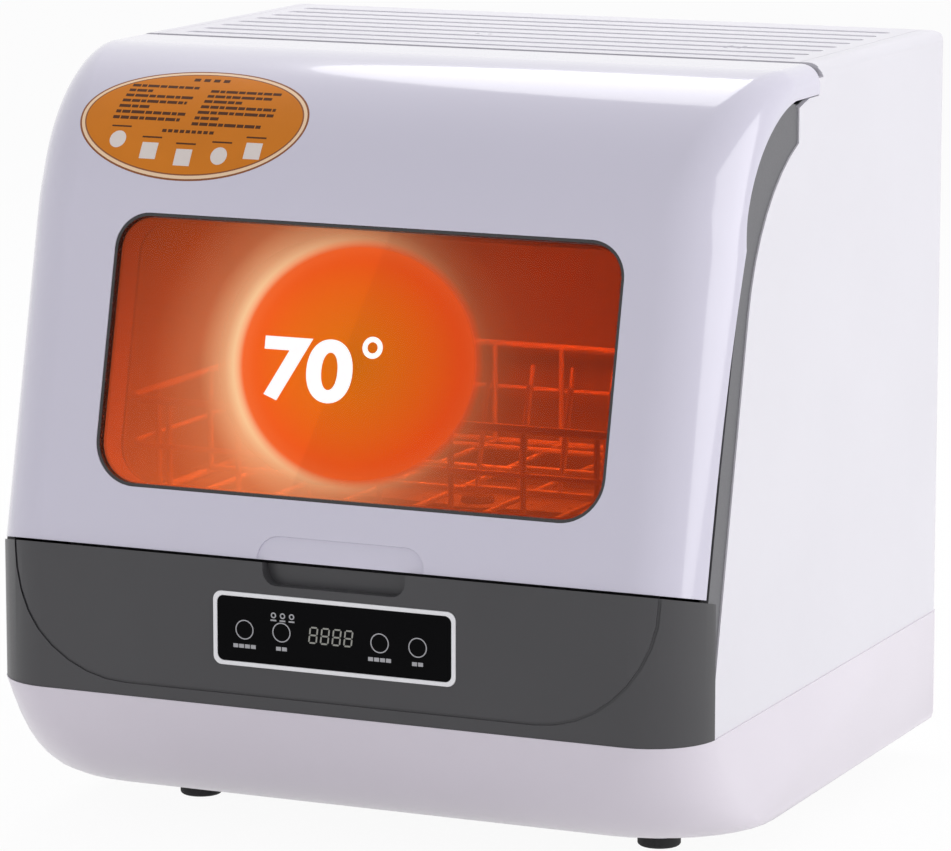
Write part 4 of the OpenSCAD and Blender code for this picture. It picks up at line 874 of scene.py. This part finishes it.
def dashed_rows(left, top, widths):
    bars = []
    for row, width in enumerate(widths):
        x, k = left - row * ROW_SLANT, row * 3
        while x < left + width - SHORTEST:
            length = min(DASHES[k % len(DASHES)], left + width - x)
            bars.append(bar(x + length / 2, top - row * ROW_DROP, length, DASH_H))
            x, k = x + length + DASH_GAP, k + 1
    return bars


rule_lines = [bar(x, 29.5, 3.8, 2.6) for x in (-9, -3, 3, 9)]
for block in BLOCKS:
    rule_lines += dashed_rows(*block)
rule_lines += [bar(-15 + 3.6 * i, -8.8, 2.6, 2.0) for i in range(9)]
rule_lines += [bar(x, t + 8.2, 12, 1.0) for x, t in SPOTS]
label_sheet("label_rules", rule_lines, PRINT_LIFT, LABEL_DARK)
label_sheet("label_spots", [oval(4.9, 5.2, 32, *SPOTS[i]) for i in ROUND_SPOTS]
            + [bar(*SPOTS[i], 9.8, 9.8) for i in SQUARE_SPOTS], PRINT_LIFT, LABEL_PALE)

# ---- stage, light and camera ----
FLOOR_HALF = 6
FLOOR_WHITE, FLOOR_SHARE = (0.88, 0.88, 0.88), 0.94
SKY, SKY_STRENGTH = (0.86, 0.86, 0.92), 0.62


def backdrop_share(tree, most):
    """How much of the plain white backdrop a ray sees: camera, mirror and glass rays see it."""
    path = add(tree, "ShaderNodeLightPath")
    seen = math_node(tree, "MAXIMUM", path.outputs["Is Camera Ray"], path.outputs["Is Glossy Ray"])
    seen = math_node(tree, "MAXIMUM", seen, path.outputs["Is Transmission Ray"])
    return math_node(tree, "MULTIPLY", seen, most)


def floor_material():
    """A pale floor that the eye and mirrors see nearly white, with the object's faint shadow."""
    m, tree, bsdf = new_material("floor_white")
    bsdf.inputs["Base Color"].default_value = (*FLOOR_WHITE, 1)
    bsdf.inputs["Roughness"].default_value = 0.7
    glow = add(tree, "ShaderNodeEmission", Strength=1.0)
    glow.inputs["Color"].default_value = (1, 1, 1, 1)
    blended(tree, backdrop_share(tree, FLOOR_SHARE), bsdf, glow, tree.nodes["Material Output"])
    return m


def studio_floor():
    bm = bmesh.new()
    bmesh.ops.create_grid(bm, x_segments=2, y_segments=2, size=FLOOR_HALF)
    mesh = bpy.data.meshes.new("floor")
    bm.to_mesh(mesh)
    bm.free()
    mesh.materials.append(floor_material())
    floor = bpy.data.objects.new("floor", mesh)
    bpy.context.scene.collection.objects.link(floor)


def studio_world():
    """A soft grey sky that lights the object, behind a white one that is seen."""
    world = bpy.data.worlds.new("studio")
    bpy.context.scene.world = world
    world.use_nodes = True
    tree = world.node_tree
    sky = tree.nodes["Background"]
    sky.inputs["Color"].default_value = (*SKY, 1)
    sky.inputs["Strength"].default_value = SKY_STRENGTH
    plain = add(tree, "ShaderNodeBackground", Strength=1.0)
    plain.inputs["Color"].default_value = (1, 1, 1, 1)
    blended(tree, backdrop_share(tree, 1.0), sky, plain, tree.nodes["World Output"])


studio_floor()
studio_world()


def softbox(name, at, target, size, power, colour=(1, 1, 1), shape="RECTANGLE", mirrored=True):
    """A lamp of a width and height in metres, aimed at a point. Glossy faces may mirror it."""
    lamp = bpy.data.lights.new(name, "AREA")
    lamp.shape = shape
    lamp.size, lamp.size_y = size
    lamp.energy = power
    lamp.color = colour
    o = bpy.data.objects.new(name, lamp)
    o.location = at
    o.rotation_euler = (Vector(target) - Vector(at)).to_track_quat("-Z", "Y").to_euler()
    o.visible_glossy = mirrored
    bpy.context.scene.collection.objects.link(o)


softbox("key_right", (2.4, 0.0, 1.1), (0, 0, 0.25), (2.2, 1.9), 27)
softbox("top_soft", (-0.15, 1.3, 1.8), (0, 0, 0.3), (2.2, 1.0), 17, mirrored=False)
softbox("front_fill", (-1.3, -2.4, 0.8), (0, 0, 0.25), (1.6, 1.2), 6.8, mirrored=False)
# the long shine on the door's bend
softbox("bend_shine", (-0.588, 1.096, 1.92), (-0.258, -0.204, 0.42), (0.72, 1.24), 4.4,
        shape="ELLIPSE")
# the drying lamp inside the tub
softbox("tub_glow", (0.0, 0.02, 0.352), (0, 0.03, 0.2), (0.16, 0.10), 1.6, (1.0, 0.88, 0.78))

CAMERA_AT = Vector((1.14177, -2.55221, 0.70939))
CAMERA_RIGHT = Vector((0.91277, 0.40847, 0.0))
CAMERA_UP = Vector((-0.07155, 0.15990, 0.98454))
LENS = 190.17
SENSOR_WIDTH = 36


def photo_camera():
    camera = bpy.data.cameras.new("camera")
    camera.sensor_fit = "HORIZONTAL"
    camera.sensor_width = SENSOR_WIDTH
    camera.lens = LENS
    camera.clip_end = 30
    view = bpy.data.objects.new("camera", camera)
    turn = Matrix((CAMERA_RIGHT, CAMERA_UP, CAMERA_RIGHT.cross(CAMERA_UP))).transposed()
    view.matrix_world = Matrix.Translation(CAMERA_AT) @ turn.to_4x4()
    bpy.context.scene.collection.objects.link(view)
    bpy.context.scene.camera = view


photo_camera()
bpy.context.scene.view_settings.view_transform = "Standard"
